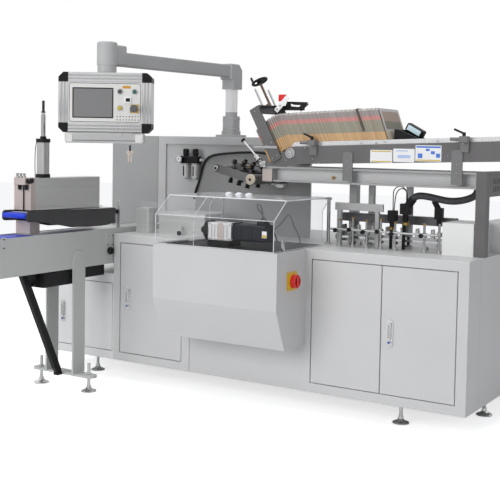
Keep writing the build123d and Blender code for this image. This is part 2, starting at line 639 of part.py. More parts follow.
pusher += side_profile(pusher_pts, magazine_y + 60, magazine_y + 72)
pusher += block(-492, -484, magazine_y + 60, magazine_y + 162, pusher_z, pusher_z + 74)
levers = []
clamp_xs = (-902, -108)
for x in clamp_xs:
    z = mag_z(x, mag_low + 108)
    lever = rod_z(x, magazine_y - 22, z + 12, z + 30, 8) + rod_between((x, magazine_y - 22, z + 24),
                                                                      (x - 48, magazine_y - 22, z + 44), 5)
    levers.append(lever)
save("magazine_fittings", press, pusher, *levers)

# Screw adjuster over the mouth: spindle and two guide rods, with a handwheel on the spindle.
middle_y = (magazine_y + far_y) / 2


screw_across = 56
screw_length = 150


def head_rod(across, y, low, high, r):
    p = on_head(head_length + low, across)
    q = on_head(head_length + high, across)
    return rod_between((p[0], y, p[1]), (q[0], y, q[1]), r)


screw = head_rod(screw_across, middle_y, 0, screw_length, 7) + head_rod(screw_across - 8, middle_y, 0, 18, 15)
side_rods = [head_rod(46, middle_y - 62, 0, 108, 6), head_rod(50, middle_y + 66, 0, 108, 6)]
save("head_rods", screw, *side_rods)
screw_end = on_head(head_length + screw_length, screw_across)
wheel_at = (screw_end[0], middle_y, screw_end[1])
wheel_frame = Plane(origin=wheel_at, z_dir=(-math.sin(lean), 0, math.cos(lean)))
wheel = Torus(40, 6.5) + Cylinder(15, 22)
for a in (30, 150, 270):
    wheel += Rot(0, 0, a) * (Pos(22, 0, 0) * Box(40, 10, 6))
wheel += Pos(-38, 0, 22) * Cylinder(6, 44)
wheel -= Pos(0, 0, -6) * Cylinder(7 + running_gap, 26)
save("handwheel", wheel_frame * wheel)

# Magazine frame: two channel beams tied together, rear posts, plate brackets and clamp blocks.
beam_top = body_top + beam_rise
beam_low = beam_top - beam_height
beam_x0 = -1200
beam_x1 = -52
near_beam = block(beam_x0, beam_x1, magazine_y, magazine_y + 50, beam_low, beam_top)
near_beam -= block(beam_x0 + 60, beam_x1 - 5, magazine_y - 1, magazine_y + 44, beam_low + 9, beam_top - 9)
rear_beam = block(beam_x0, beam_x1, far_y, back_y, beam_low, beam_top)
frame_parts = near_beam + rear_beam
for x, w in ((-803, 21), (-700, 14), (-490, 14)):
    frame_parts += block(x - w, x + w, far_y + 4, far_y + 4 + 2 * w, body_top, beam_low)
for x in (-1120, -640, -160):
    frame_parts += block(x - 20, x + 20, magazine_y + 50, far_y, beam_low + 6, beam_top - 6)
for x in (-709, -145):
    z = mag_z(x, mag_low + 58)
    pts = [(x - 27, beam_low + 18), (x + 27, beam_low + 18), (x + 27, z), (x - 27, z)]
    frame_parts += side_profile(pts, magazine_y - 6, magazine_y, 16, pts[2:])
frame_parts += block(beam_x0 + 1, beam_x0 + 60, magazine_y - 6, magazine_y, beam_low - 2, beam_top - 12)
clamps = []
for x in clamp_xs:
    z = mag_z(x, mag_low + 108)
    clamp = block(x - 20, x + 20, magazine_y - 34, magazine_y, z - 62, z + 12)
    clamp -= block(x - 21, x + 21, magazine_y - 35, magazine_y - 12, z - 63, z - 16)
    clamp += rod_x(x - 66, x - 20, magazine_y - 22, z - 2, 8)
    clamps.append(clamp)
save("magazine_frame", frame_parts, *clamps)

# End frame: two posts and a cross panel with vent slots.
end_post = 50
end_z = beam_top + 4
end_rear = 840
end_frame = block(-52, -2, magazine_y, magazine_y + end_post, body_top, end_z)
end_frame += block(-52, -2, end_rear, end_rear + end_post, body_top, end_z)
end_frame += block(-52, -2, magazine_y + end_post, end_rear, end_z - 12, end_z)
panel = block(-6, -2, magazine_y + end_post, end_rear, end_z - 116, end_z - 12)
panel += block(-52, -6, magazine_y + end_post, end_rear, end_z - 116, end_z - 112)
for y in range(magazine_y + end_post + 50, end_rear - 30, 26):
    for z in (end_z - 94, end_z - 58):
        panel -= soft_block(-7, -1, y, y + 9, z, z + 26, 4, Axis.X)
end_frame += panel
save("end_frame", end_frame)

# Carton track on the right table: guide rails, chains with pusher lugs, adjustable guide posts.
light_rail = block(-826, -560, 300, 312, body_top + 178, body_top + 216)
light_rail += block(-812, -788, 296, 312, body_top, body_top + 178) + block(-600, -580, 296, 312, body_top, body_top + 178)
dark_rail = block(-836, -212, 380, 420, body_top + 118, body_top + 160)
dark_rail -= block(-830, -218, 386, 421, body_top + 124, body_top + 154)
for x in (-760, -480, -260):
    dark_rail += block(x - 12, x + 12, 384, 412, body_top, body_top + 118)
save("track_rails", light_rail, dark_rail)


def guide_post(x, y, h):
    post = rod_z(x, y, body_top, body_top + h, 6)
    post += rod_z(x, y, body_top, body_top + 10, 13)
    post += soft_block(x - 11, x + 11, y - 11, y + 11, body_top + h * 0.55, body_top + h * 0.55 + 22, 5)
    post += rod_y(x, y - 34, y + 26, body_top + h * 0.55 + 11, 5)
    return post


guides = [guide_post(x, 240, 130 + 12 * (i % 2)) for i, x in enumerate(range(-770, -230, 76))]
guides = [g for i, g in enumerate(guides) if i != 5]
rail_rods = [rod_x(-800, -230, y, body_top + 88 + 24 * k, 6) for k, y in enumerate((206,))]
chain_top = body_top + 60
chains = []
for y in (330, 356):
    ch = soft_block(-836, -216, y, y + 12, body_top + 20, chain_top, 18, Axis.Y)
    ch -= soft_block(-818, -234, y - 1, y + 13, body_top + 34, chain_top - 14, 5, Axis.Y)
    for x in range(-800, -240, 80):
        ch += side_profile([(x, chain_top - 2), (x + 16, chain_top - 2), (x + 10, chain_top + 44), (x + 3, chain_top + 44)],
                           y + 1, y + 11)
    ch += block(-720, -700, y, y + 12, body_top, body_top + 22) + block(-360, -340, y, y + 12, body_top, body_top + 22)
    chains.append(ch)
track = guides[0]
for g in guides[1:] + rail_rods:
    track += g
save("track_guides", track, *chains)

# Glue heads over the track, with the thick supply hose.
glue_z = body_top + 205
head_a = soft_block(-456, -404, 262, 312, glue_z - 30, glue_z + 22, 6) + rod_z(-430, 287, glue_z - 62, glue_z - 30, 12)
head_a += turned([(0, 0), (4, 0), (9, 14), (9, 22), (0, 22)], -430, 287, glue_z - 84)
head_a += rod_between((-430, 287, glue_z), (-395, 287, glue_z + 48), 20)
head_a += rod_z(-446, 300, body_top, glue_z - 30, 8)
head_b = soft_block(-520, -478, 262, 306, glue_z - 64, glue_z - 14, 6) + rod_z(-499, 284, glue_z - 92, glue_z - 64, 11)
head_b += turned([(0, 0), (4, 0), (9, 14), (9, 22), (0, 22)], -499, 284, glue_z - 114)
head_b += rod_z(-512, 296, body_top, glue_z - 64, 8)
head_c = soft_block(-300, -262, 320, 360, glue_z - 50, glue_z + 6, 6) + rod_z(-281, 340, glue_z - 82, glue_z - 50, 11)
head_c += rod_between((-281, 340, glue_z - 6), (-300, 320, glue_z + 40), 14)
head_c += rod_z(-281, 349, body_top, glue_z - 50, 6)
save("glue_heads", head_a, head_b, head_c)
hose_path = Spline((-395, 287, glue_z + 48), (-330, 290, glue_z + 62), (-200, 300, glue_z + 44), (-110, 320, glue_z + 66),
                   (-86, 330, glue_z + 116), tangents=[(35, 0, 48), (0, 0.2, 1)])
hose = sweep(Plane(origin=hose_path @ 0, z_dir=hose_path % 0) * Circle(17), path=hose_path)
save("glue_hose", hose)
cover_a = soft_block(-212, -56, 205, 420, body_top, body_top + 152, 4)
cover_b = soft_block(-75, -6, 460, 800, body_top, body_top + 155, 4)
save("cover_boxes", cover_a, cover_b)

# Crosswise outfeed: folded channel beam with a belt, on a two-legged stand with a strut.
out_x0 = stand_x - outfeed_width / 2
out_x1 = stand_x + outfeed_width / 2
out_low = outfeed_level - outfeed_depth
out_far = 520
out_beam = block(out_x0, out_x1, -outfeed_near, out_far, out_low, outfeed_level)
out_beam -= block(out_x0 + 3, out_x1 - 3, -outfeed_near - 1, out_far + 1, out_low + 3, outfeed_level + 1)
out_beam += block(out_x1, x_left, 60, 160, out_low + 20, outfeed_level - 60)
out_beam += block(out_x1, out_x1 + 5, -58, -18, outfeed_level - 70, outfeed_level - 26)
for y in (-outfeed_near + 60, out_far - 60):
    out_beam += rod_x(out_x0, out_x1, y, outfeed_level - 48, 14)
save("outfeed_beam", out_beam)
out_belt = loop_belt(-outfeed_near + 18, out_far - 18, outfeed_level - 94, outfeed_level - 4, out_x0 + 8, out_x1 - 8, 5)
for y in (-outfeed_near + 60, out_far - 60):
    drum = rod_x(out_x0 + 10, out_x1 - 10, y, outfeed_level - 49, 40.1) - rod_x(out_x0, out_x1, y, outfeed_level - 48, 14.3)
    out_belt += drum
save("outfeed_belt", out_belt)

leg_top = outfeed_level - 99
leg_pts = [(leg_y - 45, stand_plate_z + 12), (leg_y + 45, stand_plate_z + 12), (leg_y + 45, leg_top - 50),
           (leg_y + 17, leg_top), (leg_y - 17, leg_top), (leg_y - 45, leg_top - 50)]
stand = end_profile(leg_pts, out_x1, out_x1 + 10) + end_profile(leg_pts, out_x0 - 10, out_x0)
foot_plate = block(stand_x - 212, stand_x + 212, leg_y - 35, leg_y + 35, stand_plate_z, stand_plate_z + 12)
foot_plate = fillet(foot_plate.edges().filter_by(Axis.Z), 32)
for s in (-1, 1):
    foot_plate -= rod_z(stand_x + s * 169, leg_y, stand_plate_z - 1, stand_plate_z + 13, 8)
stand += foot_plate
save("outfeed_stand", stand)
strut_pts = [(leg_y - 66, stand_plate_z + 12), (leg_y - 36, stand_plate_z + 12), (leg_y - 46, 118), (-584, out_low),
             (-626, out_low), (leg_y - 88, 118)]
strut = end_profile(strut_pts, stand_x - 12, stand_x + 12)
strut += block(stand_x - 22, stand_x + 22, -640, -572, out_low - 8, out_low)
strut += block(stand_x - 16, stand_x + 16, leg_y - 70, leg_y - 35.5, stand_plate_z, stand_plate_z + 12)
save("stand_strut", strut)
out_drive = soft_block(out_x0 + 20, out_x1 - 12, -520, -300, out_low - 82, out_low, 8, Axis.Y)
out_drive += block(out_x0 + 40, out_x1 - 30, -300, -40, out_low - 62, out_low)
out_drive += rod_y(stand_x, -540, -520, out_low - 42, 34)
save("outfeed_drive", out_drive)

# Upper outfeed conveyor: two side plates with a deep belly, a flat belt and its near roller.
belly = [(deck_near, deck_z(deck_near)), (deck_far, deck_z(deck_far)), (deck_far, 866), (-100, 858), (-330, 864),
         (-560, 906), (deck_near, 909)]
rounded = [(deck_near, deck_z(deck_near)), (deck_near, 909)]
upper = [end_profile(belly, a, a + 8, 18, rounded) for a in (deck_x0, deck_x1 - 8)]
for s in (-520, -60):
    upper[0] += block(deck_x0 + 8, deck_x1 - 8, s, s + 30, 872 if s > -100 else 916, 884 if s > -100 else 922)
whole_upper = upper[0] + upper[1]
for y in (-420, -160):
    whole_upper += block(deck_x0 + 30, deck_x0 + 60, y, y + 40, outfeed_level - 4, 872)
save("upper_plates", upper[0], upper[1])
upper_belt = loop_belt(deck_near - 6, deck_far - 14, 924, 950, deck_x0 + 9, deck_x1 - 9, 3)
for y in (deck_near + 7, deck_far - 27):
    upper_belt += rod_x(deck_x0 + 9, deck_x1 - 9, y, 937, 10.2) + rod_x(deck_x0 + 8, deck_x1 - 8, y, 937, 5)
save("upper_belt", upper_belt)

# Lift unit: steel column beside the beam, cylinder on the steel box, rod pointing up.
column = soft_block(deck_x0, -2096, -574, -540, deck_z(-560) + 6, 1125, 3)
column += block(deck_x0, -2096, -574, -540, deck_z(-560) + 1, deck_z(-560) + 7)
leg_slope = (906 - 864) / (560 - 330)
column_leg = end_profile([(-560, outfeed_level), (-490, outfeed_level), (-490, 905.7 - 70 * leg_slope), (-560, 905.7)],
                         out_x0, -2115)
save("lift_column", column, column_leg)
cyl_x = deck_x0 + 62
cyl_y = -430
cyl_low = 1122
cyl_top = 1304
barrel = soft_block(cyl_x - 25, cyl_x + 25, cyl_y - 25, cyl_y + 25, cyl_low + 19, cyl_top, 8)
barrel += soft_block(cyl_x - 27, cyl_x + 27, cyl_y - 27, cyl_y + 27, cyl_low, cyl_low + 19, 4)
barrel += soft_block(cyl_x - 27, cyl_x + 27, cyl_y - 27, cyl_y + 27, cyl_top, cyl_top + 20, 4)
barrel += rod_z(cyl_x, cyl_y, cyl_top + 20, cyl_top + 32, 16)
for sx in (-1, 1):
    barrel -= block(cyl_x + sx * 23, cyl_x + sx * 26, cyl_y - 6, cyl_y + 6, cyl_low + 19, cyl_top)
barrel -= rod_z(cyl_x, cyl_y, cyl_low + 50, cyl_top + 45, 12 + running_gap)
save("lift_cylinder", barrel)
cyl_rod = rod_z(cyl_x, cyl_y, cyl_low + 160, 1448, 12)
cyl_rod += rod_z(cyl_x, cyl_y, 1446, 1520, 7) + hex_nut(cyl_x, cyl_y, 1456, 1464, 12)
save("cylinder_rod", cyl_rod)
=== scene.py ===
# %% [markdown]
# # A cartoning machine that opens and fills boxes
# A long row of sheet steel cabinets carries the working parts: a tilted magazine of folded cartons, a
# swinging arm with suction cups, a guarded drive and a belt that takes the filled cartons away. The solid
# model is loaded first as a fixed frame. Everything after that is finish, small parts and light.

# %% Load the frame
import math
import bpy
import bmesh
from mathutils import Matrix, Vector


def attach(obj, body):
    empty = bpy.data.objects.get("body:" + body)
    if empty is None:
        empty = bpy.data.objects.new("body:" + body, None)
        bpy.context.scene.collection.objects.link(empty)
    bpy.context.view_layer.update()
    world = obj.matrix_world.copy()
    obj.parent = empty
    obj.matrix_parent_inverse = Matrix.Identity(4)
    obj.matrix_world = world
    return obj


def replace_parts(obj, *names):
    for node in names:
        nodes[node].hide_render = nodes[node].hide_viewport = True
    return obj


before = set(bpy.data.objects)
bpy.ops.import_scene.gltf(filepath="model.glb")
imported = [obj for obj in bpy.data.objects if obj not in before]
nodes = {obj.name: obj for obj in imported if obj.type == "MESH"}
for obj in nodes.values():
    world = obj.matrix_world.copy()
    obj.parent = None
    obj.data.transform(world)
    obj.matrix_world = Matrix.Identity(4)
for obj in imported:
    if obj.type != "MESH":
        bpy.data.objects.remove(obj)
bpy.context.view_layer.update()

# %% [markdown]
# ## Where the viewer stands
# The camera stands to the right of the machine, a little above the tables, and looks along the row of
# cabinets. A long lens keeps the upright edges nearly parallel, and a small shift moves the view down, so
# that the floor shows below the levelling feet.

# %% Camera
camera_data = bpy.data.cameras.new("viewpoint")
camera_data.lens = 71.54
camera_data.sensor_width = 36
camera_data.shift_y = -0.1
camera = bpy.data.objects.new("viewpoint", camera_data)
camera.location = (2.53245, -4.27605, 1.31640)
camera.rotation_euler = [math.radians(a) for a in (86.75554, -0.99509, 32.06791)]
bpy.context.scene.collection.objects.link(camera)
bpy.context.scene.camera = camera
print("camera at", [round(v, 2) for v in camera.location])

# %% [markdown]
# ## Lamps
# Machines like this are photographed in a white studio. One wide soft lamp in front gives the pale doors
# their even tone, a second above brightens the tables, and a weak third lights the right ends. The lamps
# hide from shiny surfaces, so no hard rectangle shows in the chrome.

# %% Lamps
scene = bpy.context.scene
scene.view_settings.view_transform = "Standard"


def soft_lamp(name, place, target, size, power):
    data = bpy.data.lights.new(name, "AREA")
    data.shape = "RECTANGLE"
    data.size = size[0]
    data.size_y = size[1]
    data.energy = power
    lamp = bpy.data.objects.new(name, data)
    lamp.location = place
    lamp.rotation_euler = (Vector(target) - Vector(place)).to_track_quat("-Z", "Y").to_euler()
    lamp.visible_glossy = False
    scene.collection.objects.link(lamp)
    return lamp


soft_lamp("front_lamp", (-1.6, -6.0, 2.6), (0, 0, 0.6), (4.5, 3.0), 205)
soft_lamp("top_lamp", (-0.2, -0.6, 5.2), (0, 0, 0.8), (4.5, 3.5), 105)
soft_lamp("side_lamp", (5.0, -0.4, 2.2), (0, 0, 0.7), (3.0, 2.4), 24)

# %% [markdown]
# ## Surroundings
# The world has three faces. An even fill lights the shadows, reflections see a wall that goes from grey
# at the floor to white above, which gives the metal its form, and the camera sees plain white, also
# through clear sheet.

# %% World
world = bpy.data.worlds.new("studio")
scene.world = world
world.use_nodes = True
tree = world.node_tree
tree.nodes.clear()
fill = tree.nodes.new("ShaderNodeBackground")
fill.inputs["Color"].default_value = (0.92, 0.95, 1.0, 1)
fill.inputs["Strength"].default_value = 0.36
white = tree.nodes.new("ShaderNodeBackground")
white.inputs["Color"].default_value = (1, 1, 1, 1)
white.inputs["Strength"].default_value = 1.0
studio = tree.nodes.new("ShaderNodeBackground")
way = tree.nodes.new("ShaderNodeTexCoord")
height = tree.nodes.new("ShaderNodeSeparateXYZ")
walls = tree.nodes.new("ShaderNodeValToRGB")
for stop, (level, grey) in zip(walls.color_ramp.elements, [(0.40, 0.42), (0.62, 1.0)]):
    stop.position = level
    stop.color = (grey, grey, grey, 1)
middle = walls.color_ramp.elements.new(0.52)
middle.color = (0.62, 0.62, 0.63, 1)
half = tree.nodes.new("ShaderNodeMapRange")
half.inputs["From Min"].default_value = -1.0
path = tree.nodes.new("ShaderNodeLightPath")
seen = tree.nodes.new("ShaderNodeMath")
seen.operation = "MAXIMUM"
shiny = tree.nodes.new("ShaderNodeMixShader")
mix = tree.nodes.new("ShaderNodeMixShader")
out = tree.nodes.new("ShaderNodeOutputWorld")
for source, target in [
        (way.outputs["Generated"], height.inputs[0]), (height.outputs["Z"], half.inputs["Value"]),
        (half.outputs["Result"], walls.inputs["Fac"]), (walls.outputs["Color"], studio.inputs["Color"]),
        (path.outputs["Is Camera Ray"], seen.inputs[0]),
        (path.outputs["Is Transmission Ray"], seen.inputs[1]),
        (path.outputs["Is Glossy Ray"], shiny.inputs[0]), (fill.outputs[0], shiny.inputs[1]),
        (studio.outputs[0], shiny.inputs[2]), (seen.outputs[0], mix.inputs[0]),
        (shiny.outputs[0], mix.inputs[1]), (white.outputs[0], mix.inputs[2]),
        (mix.outputs[0], out.inputs["Surface"])]:
    tree.links.new(source, target)
print("world nodes", len(tree.nodes))

# %% [markdown]
# ## The floor
# The real machine stands on a white studio floor that fades into the background. A large plane takes the
# shadow of the feet and cabinets, and a little glow that only the camera sees lifts it to white.


# %% Floor
def deselect():
    if bpy.context.object and bpy.context.object.mode != "OBJECT":
        bpy.ops.object.mode_set(mode="OBJECT")
    bpy.ops.object.select_all(action="DESELECT")


deselect()
bpy.ops.mesh.primitive_plane_add(size=40, location=(0, 0, 0))
floor = bpy.context.object
floor.name = "studio_floor"
floor_paint = bpy.data.materials.new("studio_floor_white")
floor_paint.use_nodes = True
tree = floor_paint.node_tree
tree.nodes.clear()
matt = tree.nodes.new("ShaderNodeBsdfDiffuse")
matt.inputs["Color"].default_value = (0.9, 0.9, 0.9, 1)
glow = tree.nodes.new("ShaderNodeEmission")
glow.inputs["Color"].default_value = (1, 1, 1, 1)
glow.inputs["Strength"].default_value = 0.62
path = tree.nodes.new("ShaderNodeLightPath")
only = tree.nodes.new("ShaderNodeMixShader")
add = tree.nodes.new("ShaderNodeAddShader")
out = tree.nodes.new("ShaderNodeOutputMaterial")
tree.links.new(matt.outputs[0], add.inputs[0])
tree.links.new(glow.outputs[0], add.inputs[1])
tree.links.new(path.outputs["Is Camera Ray"], only.inputs[0])
tree.links.new(matt.outputs[0], only.inputs[1])
tree.links.new(add.outputs[0], only.inputs[2])
tree.links.new(only.outputs[0], out.inputs["Surface"])
floor.data.materials.append(floor_paint)
print("floor", [round(v, 2) for v in floor.dimensions])

# %% [markdown]
# ## Finishes
# The machine wears only a few finishes: satin grey paint on the cabinets, a darker paint on the magazine,
# brushed steel covers, chromed rods, anodised aluminium, black plastic and clear sheet. Each is a small
# set of nodes on Object coordinates, so the grain keeps its real size on every piece. A noise varies the
# colour and the gloss a little, and a finer noise, stretched along one way on brushed metal, gives the
# relief.


# %% Finish maker
def finish_of(name, colour, rough, metal=0.0, grain=40, amount=0.04, bump=0.02, bump_scale=900,
              coat=0.0, spread=0.08, ior=1.45, streak=None):
    m = bpy.data.materials.new(name)
    m.use_nodes = True
    t = m.node_tree
    b = t.nodes["Principled BSDF"]
    b.inputs["Metallic"].default_value = metal
    b.inputs["IOR"].default_value = ior
    b.inputs["Coat Weight"].default_value = coat
    place = t.nodes.new("ShaderNodeTexCoord")
    turn = t.nodes.new("ShaderNodeMapping")
    turn.inputs["Scale"].default_value = grain if isinstance(grain, tuple) else (grain, grain, grain)
    t.links.new(place.outputs["Object"], turn.inputs["Vector"])
    clouds = t.nodes.new("ShaderNodeTexNoise")
    clouds.inputs["Scale"].default_value = 1.0
    clouds.inputs["Detail"].default_value = 4.0
    t.links.new(turn.outputs[0], clouds.inputs["Vector"])
    shade = t.nodes.new("ShaderNodeValToRGB")
    shade.name = "shade"
    darker = [max(0.0, c * (1 - amount)) for c in colour]
    lighter = [min(1.0, c * (1 + amount)) for c in colour]
    for stop, level, tone in zip(shade.color_ramp.elements, (0.3, 0.7), (darker, lighter)):
        stop.position = level
        stop.color = (*tone, 1)
    t.links.new(clouds.outputs["Fac"], shade.inputs["Fac"])
    t.links.new(shade.outputs["Color"], b.inputs["Base Color"])
    gloss = t.nodes.new("ShaderNodeMapRange")
    gloss.inputs["To Min"].default_value = max(0.02, rough - spread)
    gloss.inputs["To Max"].default_value = min(1.0, rough + spread)
    t.links.new(clouds.outputs["Fac"], gloss.inputs["Value"])
    t.links.new(gloss.outputs["Result"], b.inputs["Roughness"])
    fine = t.nodes.new("ShaderNodeTexNoise")
    fine.inputs["Scale"].default_value = 1.0 if streak else bump_scale
    fine.inputs["Detail"].default_value = 2.0
    along = t.nodes.new("ShaderNodeMapping")
    along.inputs["Scale"].default_value = streak or (1, 1, 1)
    t.links.new(place.outputs["Object"], along.inputs["Vector"])
    t.links.new(along.outputs[0], fine.inputs["Vector"])
    relief = t.nodes.new("ShaderNodeBump")
    relief.inputs["Strength"].default_value = bump
    relief.inputs["Distance"].default_value = 0.001
    t.links.new(fine.outputs["Fac"], relief.inputs["Height"])
    t.links.new(relief.outputs["Normal"], b.inputs["Normal"])
    return m


print("finish maker ready")

# %% [markdown]
# ## Paints
# The sheet metal wears a satin paint with hardly any grain. The greys differ a little from one group of
# parts to the next, so each gets its own paint, and the pale ones share one soft grain. The drive box
# wears a slightly darker copy of the cabinet grey, a painted shade for its slanted faces, which the
# lamps light more strongly.

# %% Paints
soft_grain = dict(grain=3, amount=0.02, bump=0.06)
cabinet_paint = finish_of("cabinet_paint", (0.60, 0.60, 0.60), 0.42, **soft_grain)
# painted shade: the drive box wears a slightly darker copy of the cabinet grey to tone down the lamp light on
# its slanted faces
drive_shaded_paint = finish_of("drive_box_painted_shade", (0.56, 0.56, 0.56), 0.42, **soft_grain)
low_paint = finish_of("low_cabinet_paint", (0.74, 0.74, 0.74), 0.42, **soft_grain)
beam_paint = finish_of("beam_paint", (0.52, 0.53, 0.52), 0.4, **soft_grain)
white_paint = finish_of("white_paint", (0.80, 0.80, 0.79), 0.4, **soft_grain)
dark_paint = finish_of("dark_paint", (0.052, 0.052, 0.054), 0.4, grain=6, amount=0.12, bump=0.08)
plate_grey = finish_of("plate_grey", (0.135, 0.13, 0.132), 0.36, grain=5, amount=0.1, bump=0.06)
back_grey = finish_of("back_plate_grey", (0.27, 0.27, 0.27), 0.42, grain=4, amount=0.06, bump=0.06)
arm_grey = finish_of("arm_grey", (0.42, 0.42, 0.42), 0.35, grain=5, amount=0.04, bump=0.05)
beige_paint = finish_of("beige_paint", (0.50, 0.43, 0.40), 0.4, grain=5, amount=0.05, bump=0.05)
print("paints", len(bpy.data.materials) - 1)

# %% [markdown]
# ## Bare metal, plastic and rubber
# Chrome and brass are full metals with a low roughness. The brushed covers are only half metal, so that
# they stay pale, and their relief is stretched into streaks. Plastic has no metal in it, rubber is
# rougher still, and the blacks stay a little above zero, because no real black swallows all light.

# %% Metals, plastics and rubber
brushed_steel = finish_of("brushed_steel", (0.68, 0.68, 0.675), 0.38, metal=0.5, grain=(2, 2, 60),
                          amount=0.05, bump=0.05, streak=(60, 60, 1500))
bright_strip = finish_of("bright_strip", (0.86, 0.86, 0.86), 0.26, metal=0.7, grain=(2, 20, 20),
                         amount=0.02, bump=0.02, streak=(40, 1500, 1500))
chrome = finish_of("chrome", (0.66, 0.66, 0.66), 0.14, metal=1.0, grain=8, amount=0.06, spread=0.05)
aluminium = finish_of("aluminium", (0.66, 0.66, 0.66), 0.3, metal=0.85, grain=(4, 4, 8), amount=0.02)
brass = finish_of("brass", (0.58, 0.38, 0.13), 0.28, metal=1.0, grain=30, amount=0.1, bump=0.05)
copper_screw = finish_of("copper_screw", (0.22, 0.15, 0.12), 0.42, metal=0.6, grain=60, amount=0.2, bump=0.1)
black_skin = dict(grain=30, amount=0.2, ior=1.3)
black_plastic = finish_of("black_plastic", (0.010, 0.010, 0.011), 0.42, bump=0.15, **black_skin)
black_metal = finish_of("black_metal", (0.014, 0.014, 0.015), 0.4, bump=0.1, **black_skin)
motor_black = finish_of("motor_black", (0.016, 0.017, 0.022), 0.38, grain=30, amount=0.15, bump=0.2, ior=1.3)
hose_rubber = finish_of("hose_rubber", (0.05, 0.05, 0.055), 0.5, grain=60, amount=0.2, bump=0.2)
cable_black = finish_of("cable_black", (0.010, 0.010, 0.011), 0.38, grain=60, amount=0.2, bump=0.1, ior=1.35)
blue_belt = finish_of("blue_belt", (0.012, 0.045, 0.55), 0.45, grain=20, amount=0.12, bump=0.2,
                      bump_scale=1400)
dark_belt = finish_of("dark_belt", (0.035, 0.036, 0.04), 0.55, grain=20, amount=0.2, bump=0.2)
print("finishes so far", len(bpy.data.materials) - 1)

# %% [markdown]
# ## Coloured caps, films and labels
# The small coloured parts are moulded plastic or printed film. A thin clear coat gives some knobs and
# caps a wet highlight, and the films go without one. Most share one fine grain, and the labels have a
# finer one.

# %% Caps, films and labels
moulded = dict(grain=30, amount=0.05, bump=0.04)
film = dict(grain=60, bump=0.04)
red_knob = finish_of("red_knob", (0.68, 0.015, 0.01), 0.3, coat=0.3, **moulded)
green_cap = finish_of("green_cap", (0.03, 0.13, 0.09), 0.3, coat=0.2, **moulded)
blue_cap = finish_of("blue_cap", (0.02, 0.08, 0.42), 0.3, coat=0.3, **moulded)
grey_cap = finish_of("grey_cap", (0.07, 0.07, 0.07), 0.35, **moulded)
yellow_cap = finish_of("yellow_cap", (0.50, 0.38, 0.05), 0.35, **moulded)
orange_film = finish_of("orange_film", (0.55, 0.27, 0.03), 0.45, **moulded)
yellow_plate = finish_of("yellow_plate", (0.72, 0.47, 0.03), 0.35, grain=20, amount=0.05, bump=0.04)
stop_grey = finish_of("stop_grey", (0.10, 0.10, 0.10), 0.32, grain=30, amount=0.06, bump=0.04, coat=0.3)
face_film = finish_of("face_film", (0.68, 0.67, 0.65), 0.45, grain=6, amount=0.02, bump=0.05)
screen_grey = finish_of("screen_glass", (0.20, 0.20, 0.20), 0.2, grain=3, amount=0.03, bump=0.01, coat=0.4)
label_white = finish_of("label_white", (0.82, 0.82, 0.83), 0.5, amount=0.02, **film)
label_yellow = finish_of("label_yellow", (0.62, 0.45, 0.04), 0.5, amount=0.05, **film)
label_blue = finish_of("label_blue", (0.08, 0.20, 0.62), 0.5, amount=0.05, **film)
label_pale = finish_of("label_pale_blue", (0.42, 0.52, 0.78), 0.5, **film)
divider_board = finish_of("divider_board", (0.10, 0.08, 0.07), 0.6, amount=0.1, bump=0.1)
tinted_glass = finish_of("tinted_glass", (0.70, 0.90, 0.95), 0.12, grain=20, amount=0.05, coat=0.5)
# painted highlight: this bright white stands in for the light that the polished acrylic edges and the clear
# caps catch
painted_highlight_white = finish_of("painted_highlight_white", (0.86, 0.86, 0.90), 0.12, grain=20, amount=0.06, coat=0.6)
print("finishes", len(bpy.data.materials) - 1)

# %% [markdown]
# ## Clear sheet
# The guard over the drive and the rail of the left table are clear acrylic. Seen straight on such a sheet
# almost disappears, and at a shallow angle it shines like a mirror. Its gloss reflects the studio, and a
# Layer Weight node drives the opacity the same way, so that at a shallow angle the pale tint of the sheet
# adds a painted reflection. This needs no slow refraction and lets the light reach the parts inside.


# %% Clear sheet material
def clear_sheet_of(name, tint, lowest, highest):
    m = finish_of(name, tint, 0.06, grain=(4, 4, 4), amount=0.01, bump=0.01, spread=0.02, ior=1.49)
    t = m.node_tree
    weight = t.nodes.new("ShaderNodeLayerWeight")
    weight.inputs["Blend"].default_value = 0.5
    curve = t.nodes.new("ShaderNodeMath")
    curve.operation = "POWER"
    curve.inputs[1].default_value = 3.4
    spread = t.nodes.new("ShaderNodeMapRange")
    spread.inputs["To Min"].default_value = lowest
    spread.inputs["To Max"].default_value = highest
    t.links.new(weight.outputs["Facing"], curve.inputs[0])
    t.links.new(curve.outputs[0], spread.inputs["Value"])
    t.links.new(spread.outputs["Result"], t.nodes["Principled BSDF"].inputs["Alpha"])
    return m


# partly painted reflection: the gloss reflects the studio, and the pale tint turns opaque at a shallow angle
# and whitens the sheet there
clear_sheet = clear_sheet_of("clear_sheet", (0.80, 0.82, 0.83), 0.008, 0.95)
clear_rail = clear_sheet_of("clear_rail", (0.80, 0.82, 0.83), 0.08, 0.9)
print("clear sheet ready")
